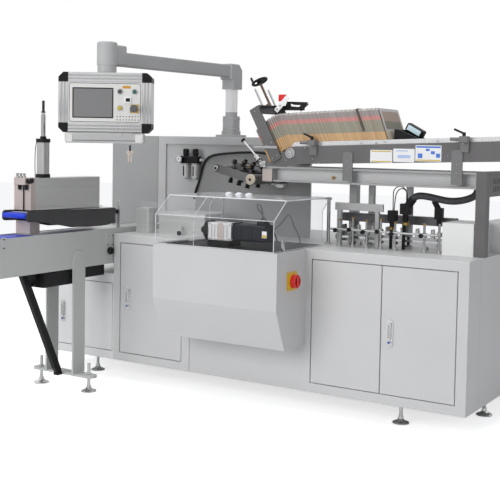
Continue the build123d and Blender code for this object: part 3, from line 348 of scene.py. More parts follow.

# %% [markdown]
# ## Two tones on one solid
# Some solids of the frame show two tones, such as a channel beam with a pale web and dark flanges, and
# the rear housing, whose darker left panel is a painted shade. A mask that asks whether one Object
# coordinate lies between two levels brings in a second colour there. On parts that really wear two
# colours this works like masking tape before the second coat of paint.


# %% Masked finish
def masked(name, base, inside, axis, low, high, metal=None):
    m = base.copy()
    m.name = name
    t = m.node_tree
    b = t.nodes["Principled BSDF"]
    place = next(n for n in t.nodes if n.type == "TEX_COORD")
    split = t.nodes.new("ShaderNodeSeparateXYZ")
    t.links.new(place.outputs["Object"], split.inputs[0])
    over = t.nodes.new("ShaderNodeMath")
    over.operation = "GREATER_THAN"
    over.inputs[1].default_value = low
    under = t.nodes.new("ShaderNodeMath")
    under.operation = "LESS_THAN"
    under.inputs[1].default_value = high
    both = t.nodes.new("ShaderNodeMath")
    both.operation = "MULTIPLY"
    for check in (over, under):
        t.links.new(split.outputs[axis], check.inputs[0])
    t.links.new(over.outputs[0], both.inputs[0])
    t.links.new(under.outputs[0], both.inputs[1])
    blend = t.nodes.new("ShaderNodeMix")
    blend.data_type = "RGBA"
    t.links.new(both.outputs[0], blend.inputs["Factor"])
    t.links.new(b.inputs["Base Color"].links[0].from_socket, blend.inputs["A"])
    blend.inputs["B"].default_value = (*inside, 1)
    t.links.new(blend.outputs["Result"], b.inputs["Base Color"])
    if metal is not None:
        shine = t.nodes.new("ShaderNodeMapRange")
        shine.inputs["To Min"].default_value = b.inputs["Metallic"].default_value
        shine.inputs["To Max"].default_value = metal
        t.links.new(both.outputs[0], shine.inputs["Value"])
        t.links.new(shine.outputs["Result"], b.inputs["Metallic"])
    return m


print("masking ready")

# %% [markdown]
# ## Masked paints
# Each masked paint names an axis and two levels in metres. Two of the levels come from the machine's own
# lines in millimetres, which two shifts turn into the frame. The channel is masked twice, once for its
# pale web and once for its darkest near edge, and so is the gear, whose left flange and foot are dark.

# %% Masked paints
shift_x, shift_y = 1042.5, -50
housing_step = (-2151 + shift_x) / 1000
gear_joint = (-1272.8 + shift_x) / 1000
rear_base = finish_of("rear_right", (0.50, 0.50, 0.50), 0.45, **soft_grain)
# painted shade: the left panel of the rear housing, up to its step, gets a darker grey for the dimmer
# reflection it shows
rear_paint_with_painted_shade = masked("rear_paint_with_painted_shade", rear_base, (0.34, 0.34, 0.34), "X", -2.0, housing_step)
channel_base = finish_of("channel_dark", (0.36, 0.36, 0.36), 0.4, grain=3, amount=0.01, bump=0.01)
channel_web = masked("channel_web", channel_base, (0.58, 0.58, 0.58), "Y", 0.1925, 2.0)
channel_paint = masked("channel_paint", channel_web, (0.18, 0.18, 0.18), "Y", -2.0, 0.150)
# partly painted highlight: the band of the arm post is bright metal, and its very pale colour adds a painted
# highlight
post_paint = masked("post_paint", arm_grey, (0.86, 0.86, 0.86), "Z", 1.497, 1.638, metal=0.6)
rail_base = finish_of("rail_dark", (0.13, 0.13, 0.135), 0.4, **soft_grain)
rail_paint = masked("rail_paint", rail_base, (0.50, 0.50, 0.50), "Y", -1.0, 0.29)
hanger_paint = masked("hanger_paint", aluminium, (0.42, 0.42, 0.42), "Z", 1.6585, 3.0, metal=0.0)
bowl_finish = masked("bowl_finish", black_plastic, (0.62, 0.62, 0.62), "Z", 0.0, 1.195, metal=0.55)
rod_finish = masked("rod_finish", chrome, (0.04, 0.04, 0.04), "Z", 1.458, 2.0, metal=0.3)
barrel_finish = masked("barrel_finish", black_metal, (0.66, 0.66, 0.66), "Z", 1.1412, 1.3038, metal=0.9)
gear_shell = masked("gear_shell", black_metal, (0.70, 0.70, 0.70), "X", gear_joint, 1.0, metal=0.3)
gear_finish = masked("gear_finish", gear_shell, (0.012, 0.012, 0.012), "Z", -1.0, 0.8425)
print("masked finishes ready")

# %% [markdown]
# ## Finishes for the solid parts
# Every solid of the frame keeps its own shape and gets one of these finishes. The doors and the housings
# share one paint, so the cabinets look like one piece of furniture, and the working parts carry darker
# paint and bare metal.


# %% Paint helper
def wear(material, *names):
    for name in names:
        solid = nodes[name]
        if not solid.data.materials:
            solid.data.materials.append(material)
        for holder in solid.material_slots:
            holder.material = material


print("paint helper ready")

# %% [markdown]
# ## One table for all solids
# A table of finish and names keeps the choice in one place, so a change of paint is a change of one line.
# The count at the end shows whether a solid was forgotten.

# %% Paint the solids
for material, names in [
        (cabinet_paint, "right_cabinet left_cabinet middle_bay right_door_left_leaf right_door_right_leaf"),
        (cabinet_paint, "left_door"), (low_paint, "low_cabinet low_door"), (drive_shaded_paint, "drive_box"),
        (rear_paint_with_painted_shade, "rear_housing"),
        (chrome, "right_door_lock left_door_lock low_door_lock levelling_feet picker_shaft head_rods"),
        (chrome, "track_guides guard_posts"), (rod_finish, "cylinder_rod"), (back_grey, "back_plate"),
        (dark_paint, "upper_plates"), (plate_grey, "magazine_plates picker_arm head_plates end_frame"),
        (channel_paint, "magazine_frame"), (rail_paint, "track_rails"), (arm_grey, "swing_arm"),
        (post_paint, "arm_post"), (aluminium, "keyboard_ledge"), (hanger_paint, "control_box"),
        (face_film, "control_face"), (gear_finish, "gearbox"), (barrel_finish, "lift_cylinder"),
        (bowl_finish, "air_unit"), (brushed_steel, "steel_covers"), (beige_paint, "lift_column"),
        (bright_strip, "magazine_strips"), (white_paint, "cover_boxes"),
        (beam_paint, "outfeed_beam outfeed_stand"),
        (black_plastic, "box_corners control_buttons suction_cups glue_heads"), (motor_black, "servo_motor"),
        (black_metal, "outfeed_drive stand_strut handwheel magazine_fittings"), (stop_grey, "stop_button"),
        (clear_sheet, "clear_guard"), (clear_rail, "discharge_plate"),
        (blue_belt, "upper_belt outfeed_belt"), (dark_belt, "magazine_belt"), (beige_paint, "carton_stack"),
        (red_knob, "isolator_knob"), (yellow_plate, "isolator_plate"), (hose_rubber, "glue_hose")]:
    wear(material, *names.split())
painted = sum(1 for o in nodes.values() if o.data.materials and o.data.materials[0] is not None)
print("painted", painted, "of", len(nodes))

# %% [markdown]
# ## A workbench for small parts
# All the small parts are drawn in millimetres on the machine's own lines: x from the right end of the
# cabinets, y from their front and z from the floor. A part starts as a primitive at its size and place,
# is shaped by hand tools, and is then laid into the machine, the control box or the picker arm by one
# matrix.

# %% Frames of the machine
to_front = (0, -1, 0)
to_right = (1, 0, 0)


def machine_place(x, y, z):
    return Vector(((x + shift_x) / 1000, (y + shift_y) / 1000, z / 1000))


def frame_at(x, y, z, degrees, axis="Y"):
    return Matrix.Translation(machine_place(x, y, z)) @ Matrix.Rotation(math.radians(degrees), 4, axis)


machine = Matrix.Translation(machine_place(0, 0, 0))
panel_frame = frame_at(-1797, -348, 0, 32, "Z")
arm_slope = math.degrees(math.atan2(54, 222))
arm_frame = frame_at(-1487, 0, 1183, arm_slope)
head_frame = frame_at(-1139, 0, 1219, -28.5)
print("arm slopes", round(arm_slope, 1), "degrees")

# %% [markdown]
# ## Blocks and rods
# Most parts of a machine start as a sawn block or a length of rod. A cube is scaled to its two corners, a
# cylinder is aimed from one end to the other, and the scale is applied at once, so that later tools work
# in true sizes.


# %% Blocks and rods
def take(piece):
    deselect()
    piece.select_set(True)
    bpy.context.view_layer.objects.active = piece


def apply_place():
    bpy.ops.object.transform_apply(location=True, rotation=True, scale=True)


def start_block(low, high):
    deselect()
    bpy.ops.mesh.primitive_cube_add(size=1, location=[(a + b) / 2000 for a, b in zip(low, high)])
    piece = bpy.context.object
    piece.scale = [abs(b - a) / 1000 for a, b in zip(low, high)]
    apply_place()
    return piece


def start_rod(start, end, radius, sides=24):
    a = Vector(start) / 1000
    b = Vector(end) / 1000
    deselect()
    bpy.ops.mesh.primitive_cylinder_add(vertices=sides, radius=radius / 1000, depth=(b - a).length,
                                        location=(a + b) / 2,
                                        rotation=(b - a).to_track_quat("Z", "Y").to_euler())
    apply_place()
    return bpy.context.object


print("blocks and rods ready")

# %% [markdown]
# ## Rounding, picking and sinking
# No machined edge is perfectly sharp, so nearly every part gets a small bevel that catches the light. A
# recess is made as on paper: the face is picked by its place and normal, a rim is inset, and the field
# inside is pushed in. The second, very narrow inset keeps the wall of the recess upright.


# %% Rounding, picking and sinking
def round_edges(piece, width, steps=2, angle=40):
    take(piece)
    bpy.ops.object.modifier_add(type="BEVEL")
    bevel = piece.modifiers[-1]
    bevel.width = width / 1000
    bevel.segments = steps
    bevel.limit_method = "ANGLE"
    bevel.angle_limit = math.radians(angle)
    bpy.ops.object.modifier_apply(modifier=bevel.name)
    return piece


def soft_block(low, high, width, steps=2):
    return round_edges(start_block(low, high), width, steps)


def pick_faces(piece, wanted):
    take(piece)
    bpy.ops.object.mode_set(mode="EDIT")
    bpy.ops.mesh.select_mode(type="FACE")
    bpy.ops.mesh.select_all(action="DESELECT")
    shape = bmesh.from_edit_mesh(piece.data)
    for face in shape.faces:
        face.select = bool(wanted(face.calc_center_median() * 1000, face.normal))
    bmesh.update_edit_mesh(piece.data)


def front(centre, normal):
    return normal.y < -0.999


def right_side(centre, normal):
    return normal.x > 0.999


def top_side(centre, normal):
    return normal.z > 0.999


def sink(piece, wanted, rim, depth):
    pick_faces(piece, wanted)
    bpy.ops.mesh.inset(thickness=rim / 1000, depth=0)
    bpy.ops.mesh.inset(thickness=min(rim, 1.0) / 4000, depth=-depth / 1000)
    bpy.ops.object.mode_set(mode="OBJECT")
    return piece


print("shaping tools ready")

# %% [markdown]
# ## Joining, copying and laying
# Small parts of one finish are joined into one piece. A finished piece is laid into its place by a
# matrix, its normals are made to point outwards, and only edges over a set angle stay sharp. Then it is
# told which body it rides on, so that it moves with its door or its arm.


# %% Joining, copying and laying
def joined(*pieces):
    deselect()
    for piece in pieces:
        piece.select_set(True)
    bpy.context.view_layer.objects.active = pieces[0]
    if len(pieces) > 1:
        bpy.ops.object.join()
    return pieces[0]


def copied(piece, move):
    take(piece)
    bpy.ops.object.duplicate()
    twin = bpy.context.object
    twin.location = Vector(move) / 1000
    apply_place()
    return twin


def lay(piece, name, material, slot, body="machine", place=machine, smooth=32):
    take(piece)
    piece.matrix_basis = place
    apply_place()
    bpy.ops.object.mode_set(mode="EDIT")
    bpy.ops.mesh.select_all(action="SELECT")
    bpy.ops.mesh.normals_make_consistent(inside=False)
    bpy.ops.object.mode_set(mode="OBJECT")
    bpy.ops.object.shade_smooth_by_angle(angle=math.radians(smooth))
    piece.name = name
    piece.data.name = name
    piece.data.materials.clear()
    piece.data.materials.append(material)
    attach(piece, body)
    return piece


print("workbench ready")

# %% [markdown]
# ## Turned parts
# Screws, knobs and elbows are round about one line. A circle is extruded and scaled ring by ring, the way
# a lathe would cut the outline, and a last ring that goes inwards makes the socket of a screw. The
# finished shape is aimed along the direction in which it points.


# %% Turned parts and screws
def start_turned(rings, sides=28, start=(0, 0, 0), toward=(0, 0, 1)):
    deselect()
    radius, height = rings[0]
    bpy.ops.mesh.primitive_circle_add(vertices=sides, radius=radius / 1000, fill_type="NGON")
    piece = bpy.context.object
    bpy.ops.object.mode_set(mode="EDIT")
    bpy.ops.mesh.select_all(action="SELECT")
    for r, h in rings[1:]:
        bpy.ops.mesh.extrude_region_move(TRANSFORM_OT_translate={"value": (0, 0, (h - height) / 1000)})
        bpy.ops.transform.resize(value=(r / radius, r / radius, 1))
        radius, height = r, h
    bpy.ops.object.mode_set(mode="OBJECT")
    aim = Vector(toward).to_track_quat("Z", "Y").to_matrix().to_4x4()
    rise = Matrix.Translation((0, 0, rings[0][1] / 1000))
    piece.matrix_basis = Matrix.Translation(Vector(start) / 1000) @ aim @ rise
    take(piece)
    apply_place()
    return piece


def cap_screw(start, toward=to_front, r=4.5):
    head = [(r, 0), (r, r * 0.7), (r * 0.85, r * 0.95), (r * 0.55, r * 0.95), (r * 0.5, r * 0.3)]
    return start_turned(head, 12, start, toward)


print("turned parts and screws ready")

# %% [markdown]
# ## Flat panels
# Labels, films and bezels are thin sheets with rounded corners. A plane is turned upright, its four
# corners are bevelled as points, and only then does an extrusion give it its thickness. An inset whose
# middle is deleted makes a frame of it.


# %% Flat panels
def rounded_panel(x0, x1, z0, z1, y, corner, thickness, opening=0):
    deselect()
    bpy.ops.mesh.primitive_plane_add(size=1, location=((x0 + x1) / 2000, y / 1000, (z0 + z1) / 2000),
                                     rotation=(math.pi / 2, 0, 0))
    piece = bpy.context.object
    piece.scale = (abs(x1 - x0) / 1000, abs(z1 - z0) / 1000, 1)
    apply_place()
    bpy.ops.object.mode_set(mode="EDIT")
    bpy.ops.mesh.select_all(action="SELECT")
    bpy.ops.mesh.bevel(offset=corner / 1000, segments=4, affect="VERTICES")
    bpy.ops.mesh.select_all(action="SELECT")
    if opening:
        bpy.ops.mesh.select_mode(type="FACE")
        bpy.ops.mesh.inset(thickness=opening / 1000, depth=0)
        bpy.ops.mesh.delete(type="FACE")
        bpy.ops.mesh.select_all(action="SELECT")
    bpy.ops.mesh.extrude_region_move(TRANSFORM_OT_translate={"value": (0, -thickness / 1000, 0)})
    bpy.ops.object.mode_set(mode="OBJECT")
    return piece


print("panels ready")

# %% [markdown]
# ## Carton blanks
# The magazine holds flat folded cartons on edge. Their edges line up as bands of colour: bare board at
# the bottom, then olive, a red band and grey. One blank is modelled with rounded edges and a shallow
# field on its broad side, then copied along the slide. The copies tip back less and less towards the
# rear, and near the mouth they drop. A UV map that runs up each blank carries the bands, so the colours
# follow the tilt of every blank.

# %% One blank, copied sixty times
blank_count = 60
blank_high = 190
slide_x, slide_z, slide_slope = -1163, 1211, math.tan(math.radians(2))
stack_start, stack_length, blank_lift = -1168, 671, 88
first_tilt, tilt_change = 28.5, 8.5


def blank_spot(t):
    x = stack_start + t * stack_length
    drop = max(0.0, 1 - t / 0.2) ** 1.6 * 80
    z = slide_z + blank_lift + (x - slide_x) * slide_slope - drop
    return x, z, first_tilt - tilt_change * t


def start_blank(high, thick=10.9, y0=212, y1=441):
    blank = soft_block((-thick / 2, y0, 0.5), (thick / 2, y1, high), 0.8)
    return sink(blank, lambda c, n: n.x > 0.999 and 20 < c.z < high - 20, 7, 0.8)


def edge_map(blank, index, high):
    chart = blank.data.uv_layers.active or blank.data.uv_layers.new(name="edge")
    for loop in blank.data.loops:
        spot = blank.data.vertices[loop.vertex_index].co * 1000
        chart.data[loop.index].uv = ((index + 0.5 + spot.x / 20) / blank_count, spot.z / high)


first = start_blank(blank_high)
blanks = [first] + [copied(first, (0, 0, 0)) for index in range(1, blank_count)]
for index, blank in enumerate(blanks):
    edge_map(blank, index, blank_high)
    x, z, tilt = blank_spot((index + 0.5) / blank_count)
    high = blank_high - (1.5 if index % 2 else 0.0) - (1.0 if index % 7 == 3 else 0)
    side = -1.6 if index == 50 else 0
    take(blank)
    blank.matrix_basis = (Matrix.Translation((x / 1000, side / 1000, z / 1000))
                          @ Matrix.Rotation(math.radians(-tilt), 4, "Y")
                          @ Matrix.Diagonal((1, 1, high / blank_high, 1)))
    apply_place()
stack = joined(*blanks)
print("blanks", blank_count, "faces", len(stack.data.polygons))

# %% [markdown]
# ## Colour of the blanks
# A colour ramp with constant steps, read along the UV map, gives sharp bands. A white noise that changes
# once for each half of a blank makes every sheet a little lighter or darker than the next, so the row
# reads as many sheets and not as one block. The joined blanks replace the one solid of the stack.


# %% Bands of colour along the blank edges
def banded_board(name, bands):
    m = finish_of(name, (0.5, 0.4, 0.3), 0.6, grain=(60, 60, 60), amount=0.06, bump=0.12)
    t = m.node_tree
    b = t.nodes["Principled BSDF"]
    chart = t.nodes.new("ShaderNodeUVMap")
    split = t.nodes.new("ShaderNodeSeparateXYZ")
    t.links.new(chart.outputs[0], split.inputs[0])
    ramp = t.nodes.new("ShaderNodeValToRGB")
    ramp.color_ramp.interpolation = "CONSTANT"
    for i, (level, colour) in enumerate(bands):
        stop = ramp.color_ramp.elements[i] if i < 2 else ramp.color_ramp.elements.new(level)
        stop.position = level
        stop.color = (*colour, 1)
    t.links.new(split.outputs["Y"], ramp.inputs["Fac"])
    count = t.nodes.new("ShaderNodeMath")
    count.operation = "MULTIPLY"
    count.inputs[1].default_value = blank_count * 2.0
    t.links.new(split.outputs["X"], count.inputs[0])
    whole = t.nodes.new("ShaderNodeMath")
    whole.operation = "FLOOR"
    t.links.new(count.outputs[0], whole.inputs[0])
    chance = t.nodes.new("ShaderNodeTexWhiteNoise")
    chance.noise_dimensions = "1D"
    t.links.new(whole.outputs[0], chance.inputs["W"])
    tone = t.nodes.new("ShaderNodeMapRange")
    tone.inputs["To Min"].default_value = 0.86
    tone.inputs["To Max"].default_value = 1.12
    t.links.new(chance.outputs["Value"], tone.inputs["Value"])
    scaled = t.nodes.new("ShaderNodeVectorMath")
    scaled.operation = "SCALE"
    t.links.new(ramp.outputs["Color"], scaled.inputs[0])
    t.links.new(tone.outputs["Result"], scaled.inputs["Scale"])
    t.links.new(scaled.outputs[0], b.inputs["Base Color"])
    return m


board_bands = banded_board("carton_bands", [(0.0, (0.56, 0.36, 0.19)), (0.36, (0.30, 0.28, 0.22)),
                                            (0.68, (0.52, 0.24, 0.22)), (0.80, (0.30, 0.27, 0.26)),
                                            (0.95, (0.50, 0.48, 0.46))])
lay(stack, "carton_blanks", board_bands, "board")
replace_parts(stack, "carton_stack")

# %% [markdown]
# ## The last carton
# The rearmost carton turns its broad side to the viewer: a pale panel with a rounded field in two tones,
# and bare board below. Each is a thin plate with bevelled corners, laid against the last blank. A dark
# divider card stands between the blanks further in.


# %% Last carton face
def blank_frame(t):
    x, z, tilt = blank_spot(t)
    return frame_at(x, 0, z, -tilt)


last_frame = blank_frame(1.0)
turn_back = Matrix.Rotation(math.radians(90), 4, "Z")


def face_plate(name, material, y0, y1, z0, z1, out, thick, corner):
    plate = rounded_panel(y0, y1, z0, z1, 0, corner, thick)
    plate.matrix_basis = Matrix.Translation((out / 1000, 0, 0)) @ turn_back
    take(plate)
    apply_place()
    return lay(plate, name, material, "board", place=last_frame)


face_board = finish_of("carton_face", (0.62, 0.60, 0.58), 0.5, grain=20, amount=0.03, bump=0.05)
bare_board = finish_of("bare_board", (0.64, 0.56, 0.44), 0.6, grain=60, amount=0.06, bump=0.12)
field_base = finish_of("field_low", (0.20, 0.19, 0.14), 0.5, grain=8, amount=0.3, bump=0.05)
field_tone = masked("carton_field", field_base, (0.40, 0.30, 0.25), "Z", 1.438, 2.0)
face_plate("carton_face", face_board, 214, 440, 72, 186, 4.6, 1.2, 3)
face_plate("carton_field", field_tone, 232, 425, 80, 172, 5.7, 0.5, 4)
face_plate("carton_foot", bare_board, 214, 440, 1, 72, 4.6, 1.0, 2)
divider = sink(soft_block((-6.5, 208, 74), (6.5, 443, 192), 0.8), front, 1, 0.3)
lay(divider, "divider_card", divider_board, "board", place=blank_frame(0.84))
print("last carton at", [round(v, 2) for v in last_frame.translation])

# %% [markdown]
# ## Screws of the magazine
# Socket screws run along the near side plate of the magazine and its brackets, and one large brass screw
# sits lower down. A short list holds the place of each, and the same helper turns them all.

# %% Screws on the magazine plate
spots = [(-982, 1299), (-953, 1299), (-1087, 1274), (-894, 1225), (-871, 1225), (-906, 1246), (-641, 1329),
         (-560, 1330), (-513, 1336), (-245, 1345), (-136, 1356), (-221, 1274), (-190, 1275), (60, 1358),
         (200, 1300), (330, 1366), (-1060, 1235)]
row = [cap_screw((sx, 200, sz), r=3.8) for sx, sz in spots]
row += [cap_screw((bx, 194, bz), r=3.6) for bx in (-709, -145) for bz in (1196, 1236)]
row += [cap_screw((cx, 166, cz), r=3.6) for cx, cz in ((-902, 1306), (-108, 1334))]
lay(joined(*row), "plate_screws", chrome, "bright")
lay(cap_screw((-809, 244, 1152), r=9), "brass_screw", brass, "bright")
print("screws", len(row) + 1)

# %% [markdown]
# ## Clamping disc
# A turned disc near the mouth clamps the side plate. Its six small screws are spaced on a circle with
# sine and cosine, as a drilling jig would space them.

# %% Clamping disc at the mouth
disc_x, disc_z, screw_circle = -1038, 1271, 22
rings = [(28, 0), (28, 6), (26, 8), (19, 8), (18, 6.5), (11, 6.5), (10, 9), (8, 10), (4, 10), (3.5, 6)]
disc = start_turned(rings, 40, (disc_x, 200, disc_z), to_front)
studs = [cap_screw((disc_x + screw_circle * math.cos(a), 192, disc_z + screw_circle * math.sin(a)), r=2.6)
         for a in [math.radians(30 + 60 * k) for k in range(6)]]
lay(joined(disc, *studs), "clamping_disc", chrome, "bright")
print("disc across", 2 * rings[0][0])

# %% [markdown]
# ## Panels on the magazine
# Three flat panels sit on the magazine plate. Each is a white sheet with rounded corners and one or two
# coloured strips. A strip is its own thin layer, so it needs no picture and keeps its edges sharp.

# %% Instruction panels
panels = [(-589, -473, 1236, 1297), (-468, -358, 1241, 1305), (-354, -224, 1247, 1323)]
lay(joined(*[rounded_panel(a, b, lo, hi, 200, 3, 0.8) for a, b, lo, hi in panels]),
    "panel_sheets", label_white, "white_paint")


def flat_strip(x0, x1, z0, z1, corner=1):
    return rounded_panel(x0, x1, z0, z1, 199.2, corner, 0.4)


strips = [flat_strip(-584, -478, lo, lo + 5) for lo in (1239, 1288)] + [flat_strip(-350, -228, 1250, 1255)]
lay(joined(*strips), "panel_yellow_strips", label_yellow, "yellow")
top_strip = flat_strip(-350, -228, 1311, 1319)
fields = [flat_strip(-302 + k * 26, -282 + k * 26, 1296 - k * 15, 1307 - k * 11, 3) for k in (0, 1, 2)]
fields += [flat_strip(-342, -318, 1262, 1284, 3)]
lay(joined(top_strip, *fields), "panel_blue_strips", label_blue, "belt")
pale = [flat_strip(-446, -378, 1260, 1275, 6), flat_strip(-452, -392, 1292, 1297)]
lay(joined(*pale), "panel_pale_fields", label_pale, "belt")
print("panels", len(panels))

# %% [markdown]
# ## Screw adjuster
# The height of the mouth is set with a trapezoid screw between two threaded guide rods. A real thread is
# a ridge that climbs one pitch on each turn, so a small rectangle is swept by the Screw modifier and
# joined to a core rod. The two open ends of the ridge are then closed.


# %% Threaded rods
def threaded(x, y, z0, z1, radius, pitch, sides=14):
    core = start_rod((x, y, z0), (x, y, z1), radius - pitch * 0.3, sides)
    deselect()
    bpy.ops.mesh.primitive_plane_add(size=1)
    ridge = bpy.context.object
    bpy.ops.object.mode_set(mode="EDIT")
    bpy.ops.mesh.select_all(action="SELECT")
    bpy.ops.transform.rotate(value=math.radians(90), orient_axis="X", center_override=(0, 0, 0))
    bpy.ops.mesh.delete(type="ONLY_FACE")
    bpy.ops.object.mode_set(mode="OBJECT")
    ridge.scale = (pitch * 0.5 / 1000, 1, pitch * 0.36 / 1000)
    ridge.location = ((radius - pitch * 0.25) / 1000, 0, 0)
    apply_place()
    bpy.ops.object.modifier_add(type="SCREW")
    sweep = ridge.modifiers[-1]
    sweep.screw_offset = pitch / 1000
    sweep.iterations = int((z1 - z0 - pitch) / pitch)
    sweep.steps = sides
    sweep.render_steps = sides
    bpy.ops.object.modifier_apply(modifier=sweep.name)
    ridge.location = (x / 1000, y / 1000, (z0 + pitch * 0.5) / 1000)
    apply_place()
    pick_faces(ridge, lambda c, n: True)
    bpy.ops.mesh.select_mode(type="EDGE")
    bpy.ops.mesh.select_all(action="DESELECT")
    bpy.ops.mesh.select_non_manifold()
    bpy.ops.mesh.edge_face_add()
    bpy.ops.object.mode_set(mode="OBJECT")
    return joined(core, ridge)


head_top = 308.5
screw = threaded(56, 326.5, head_top, head_top + 149.5, 7, 4)
collar = start_turned([(15, 0), (15, 16), (13, 18), (7.5, 18)], 28, (48, 326.5, head_top))
head_screw = lay(joined(screw, collar), "head_screw", copper_screw, "bright", place=head_frame)
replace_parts(head_screw, "head_rods")
side_rods = [threaded(sx, sy, head_top, head_top + 107.5, 6, 4) for sx, sy in ((46, 264.5), (50, 392.5))]
lay(joined(*side_rods), "head_side_rods", chrome, "bright", place=head_frame)
print("threads", len(head_screw.data.polygons), "faces")

# %% [markdown]
# ## Fittings on the mouth
# The slanted head plates carry bolts and a slotted link to the picker side. Above the mouth a red sensor
# sits by a pale strip that is bolted to the press frame. Blocks are inset and sunk to give the slots
# their real depth.

# %% Head bolts, link and sensor
bolt_spots = ((12, 20), (44, 20), (12, 96), (44, 96), (30, 285))
bolts = [cap_screw((across, 192, along), r=4.5) for across, along in bolt_spots]
lay(joined(*bolts), "head_bolts", chrome, "bright", place=head_frame)
link = sink(soft_block((-1262, 186, 1293), (-1112, 191.8, 1306), 1.5), front, 4, 1.5)
link_ends = [start_rod((-1256, 186, 1299.5), (-1256, 198, 1299.5), 5),
             start_rod((-1150, 184, 1299.5), (-1150, 191.9, 1299.5), 6)]
lay(joined(link, *[round_edges(e, 0.8) for e in link_ends]), "slotted_link", arm_grey, "steel")
sensor_frame = frame_at(-1086, 0, 1523, 44.2)
strip = sink(soft_block((-13, 186, -52), (13, 189, 50), 1), front, 5, 0.8)
strip_foot = soft_block((-9, 189, -46), (9, 192.5, -24), 1)
strip_screws = [cap_screw((0, 186, k), r=4) for k in (-38, -14)]
lay(joined(strip, strip_foot), "sensor_strip", label_white, "white_paint", place=sensor_frame)
lay(joined(*strip_screws), "strip_screws", brass, "bright", place=sensor_frame)
eye = sink(soft_block((-1110, 190, 1536), (-1071, 212, 1571), 2.5, 3), front, 4, 1.2)
lay(eye, "red_sensor", red_knob, "red")
print("bolts", len(bolts), "and a sensor on the press frame")

# %% [markdown]
# ## Tinted box
# Over the rear of the stack leans a small black case with a tinted pane towards the operator. Two rounded
# blocks make the case and its foot. Its front is sunk, and the pane fills the recess.

# %% Tinted box
tint_frame = frame_at(-419, 0, 1395, 28)
case = sink(soft_block((-47, 330, -19), (47, 376, 19), 5, 3), front, 5, 2)
case_foot = soft_block((-40, 345, -30), (10, 366, -18), 1.5)
lay(joined(case, case_foot), "tinted_box_case", black_metal, "black", place=tint_frame)
pane = sink(soft_block((-37, 326.5, -13), (37, 331, 13), 1), front, 2, 0.4)
lay(pane, "tinted_box_pane", tinted_glass, "belt", place=tint_frame)
print("tinted box placed")

# %% [markdown]
# ## Painted highlights on the edges of the clear guard
# Acrylic is almost invisible, but its sawn and polished edges catch the light as bright lines, and these
# lines are what shows where the guard is. Thin eight-sided bars in a bright white run along every edge
# and bend and down the seam that divides the front, as painted highlights of these lines. A small latch
# holds the right lower corner.


# %% Painted edge highlights and latch
def edge_bar(a, b, r=1.7):
    return start_rod(a, b, r, 8)


# painted highlight: white bars along the edges and the seam of the clear guard stand in for the light they
# catch
guard_edge_highlights = []
for gx in (-1536.2, -848.8):
    guard_edge_highlights += [edge_bar((gx, -272, 813), (gx, -272, 957)), edge_bar((gx, -272, 957), (gx, -158, 1048)),
                    edge_bar((gx, -158, 1048.3), (gx, 288, 1048.3), 2.2),
                    edge_bar((gx, 206, 813), (gx, 206, 984)), edge_bar((gx, 206, 984), (gx, 286, 1046)),
                    edge_bar((gx, -272, 813), (gx, 206, 813), 1.4)]
for gy, gz, r in ((-272, 812.5, 1.4), (-271.6, 957.6, 1.3), (-159.5, 1049, 2.4), (289, 1047, 1.6)):
    guard_edge_highlights.append(edge_bar((-1537, gy, gz), (-848, gy, gz), r))
seam_x = -1302
seam = [edge_bar((seam_x, -273, 813), (seam_x, -273, 957), 1.2),
        edge_bar((seam_x, -273, 957), (seam_x, -159, 1050), 1.2)]
buttons = [cap_screw((seam_x, -273, z), r=3.4) for z in (832, 880, 944)]
lay(joined(*guard_edge_highlights, *seam), "guard_edge_highlights", painted_highlight_white, "clear", "guard")
latch_body = sink(soft_block((-847.6, -204, 822), (-840, -180, 862), 2, 3), right_side, 4, 1.5)
latch_lever = soft_block((-843, -198, 792), (-836, -186, 846), 1.5)
lay(joined(latch_body, latch_lever, *buttons), "guard_latch", chrome, "bright", "guard")
print("guard edges", len(guard_edge_highlights) + len(seam))

# %% [markdown]
# ## Caps on the guard
# Three clear caps stand on the roof of the guard. Each is turned in one piece in the bright white of the
# guard edges, a painted highlight in place of the clear plastic, and they ride on the guard, so they rise
# with it.

# %% Clear caps
# painted highlight: the clear caps are drawn in the bright white of the guard edges
domes = [start_turned([(20, 0), (20, 3), (18, 8), (12, 12), (5, 14)], 28, (dx, 100, 1050.2))
         for dx in (-1344, -1282, -1221)]
lay(joined(*domes), "guard_caps", painted_highlight_white, "clear", "guard")
print("caps", len(domes))

# %% [markdown]
# ## Drive parts behind the guard
# Small parts dress the gear and the black motor: a white plate with a yellow strip, screw heads, a row of
# ribs and a pale tag. A dark sheet in the drive box is a painted shade that closes the view down into the
# deep, unlit well.

# %% Plates, screws and ribs of the drive
lay(rounded_panel(-962, -936, 868, 900, -191, 2, 0.8), "motor_plate", label_white, "white_paint")
lay(rounded_panel(-960, -938, 870, 882, -191.8, 1, 0.4), "motor_plate_strip", label_yellow, "yellow")
gear_screws = [cap_screw((gx, -192, gz), r=4) for gx in (-1262, -1146) for gz in (850, 920)]
gear_screws += [cap_screw((-1128, -195, gz), r=4) for gz in (848, 922)]
lay(joined(*gear_screws), "gear_screws", chrome, "bright")
fins = [soft_block((-1108 + k * 16, -193.2, 852), (-1100 + k * 16, -190.8, 918), 0.8) for k in range(6)]
lay(joined(*fins), "motor_ribs", motor_black, "black")
lay(rounded_panel(-1214, -1184, 846, 926, -192.4, 2, 0.8), "gear_tag", beige_paint, "steel")
# painted shade: a black sheet in the well of the drive box stands in for its shadow
well = sink(soft_block((-1440, -262, 811), (-852, 196, 815), 1.5), top_side, 6, 2)
lay(well, "drive_well_painted_shade", black_plastic, "black")
print("ribs on the motor", len(fins))

# %% [markdown]
# ## Cables and tubes
# Short flexible cables run from one part of the machine to another. Each is one smooth curve that a few
# points pull into shape: it leaves its fitting straight and bends no tighter than a real cable of its
# size. Its length is measured on the curve itself, with its thickness taken away for a moment, and
# printed.


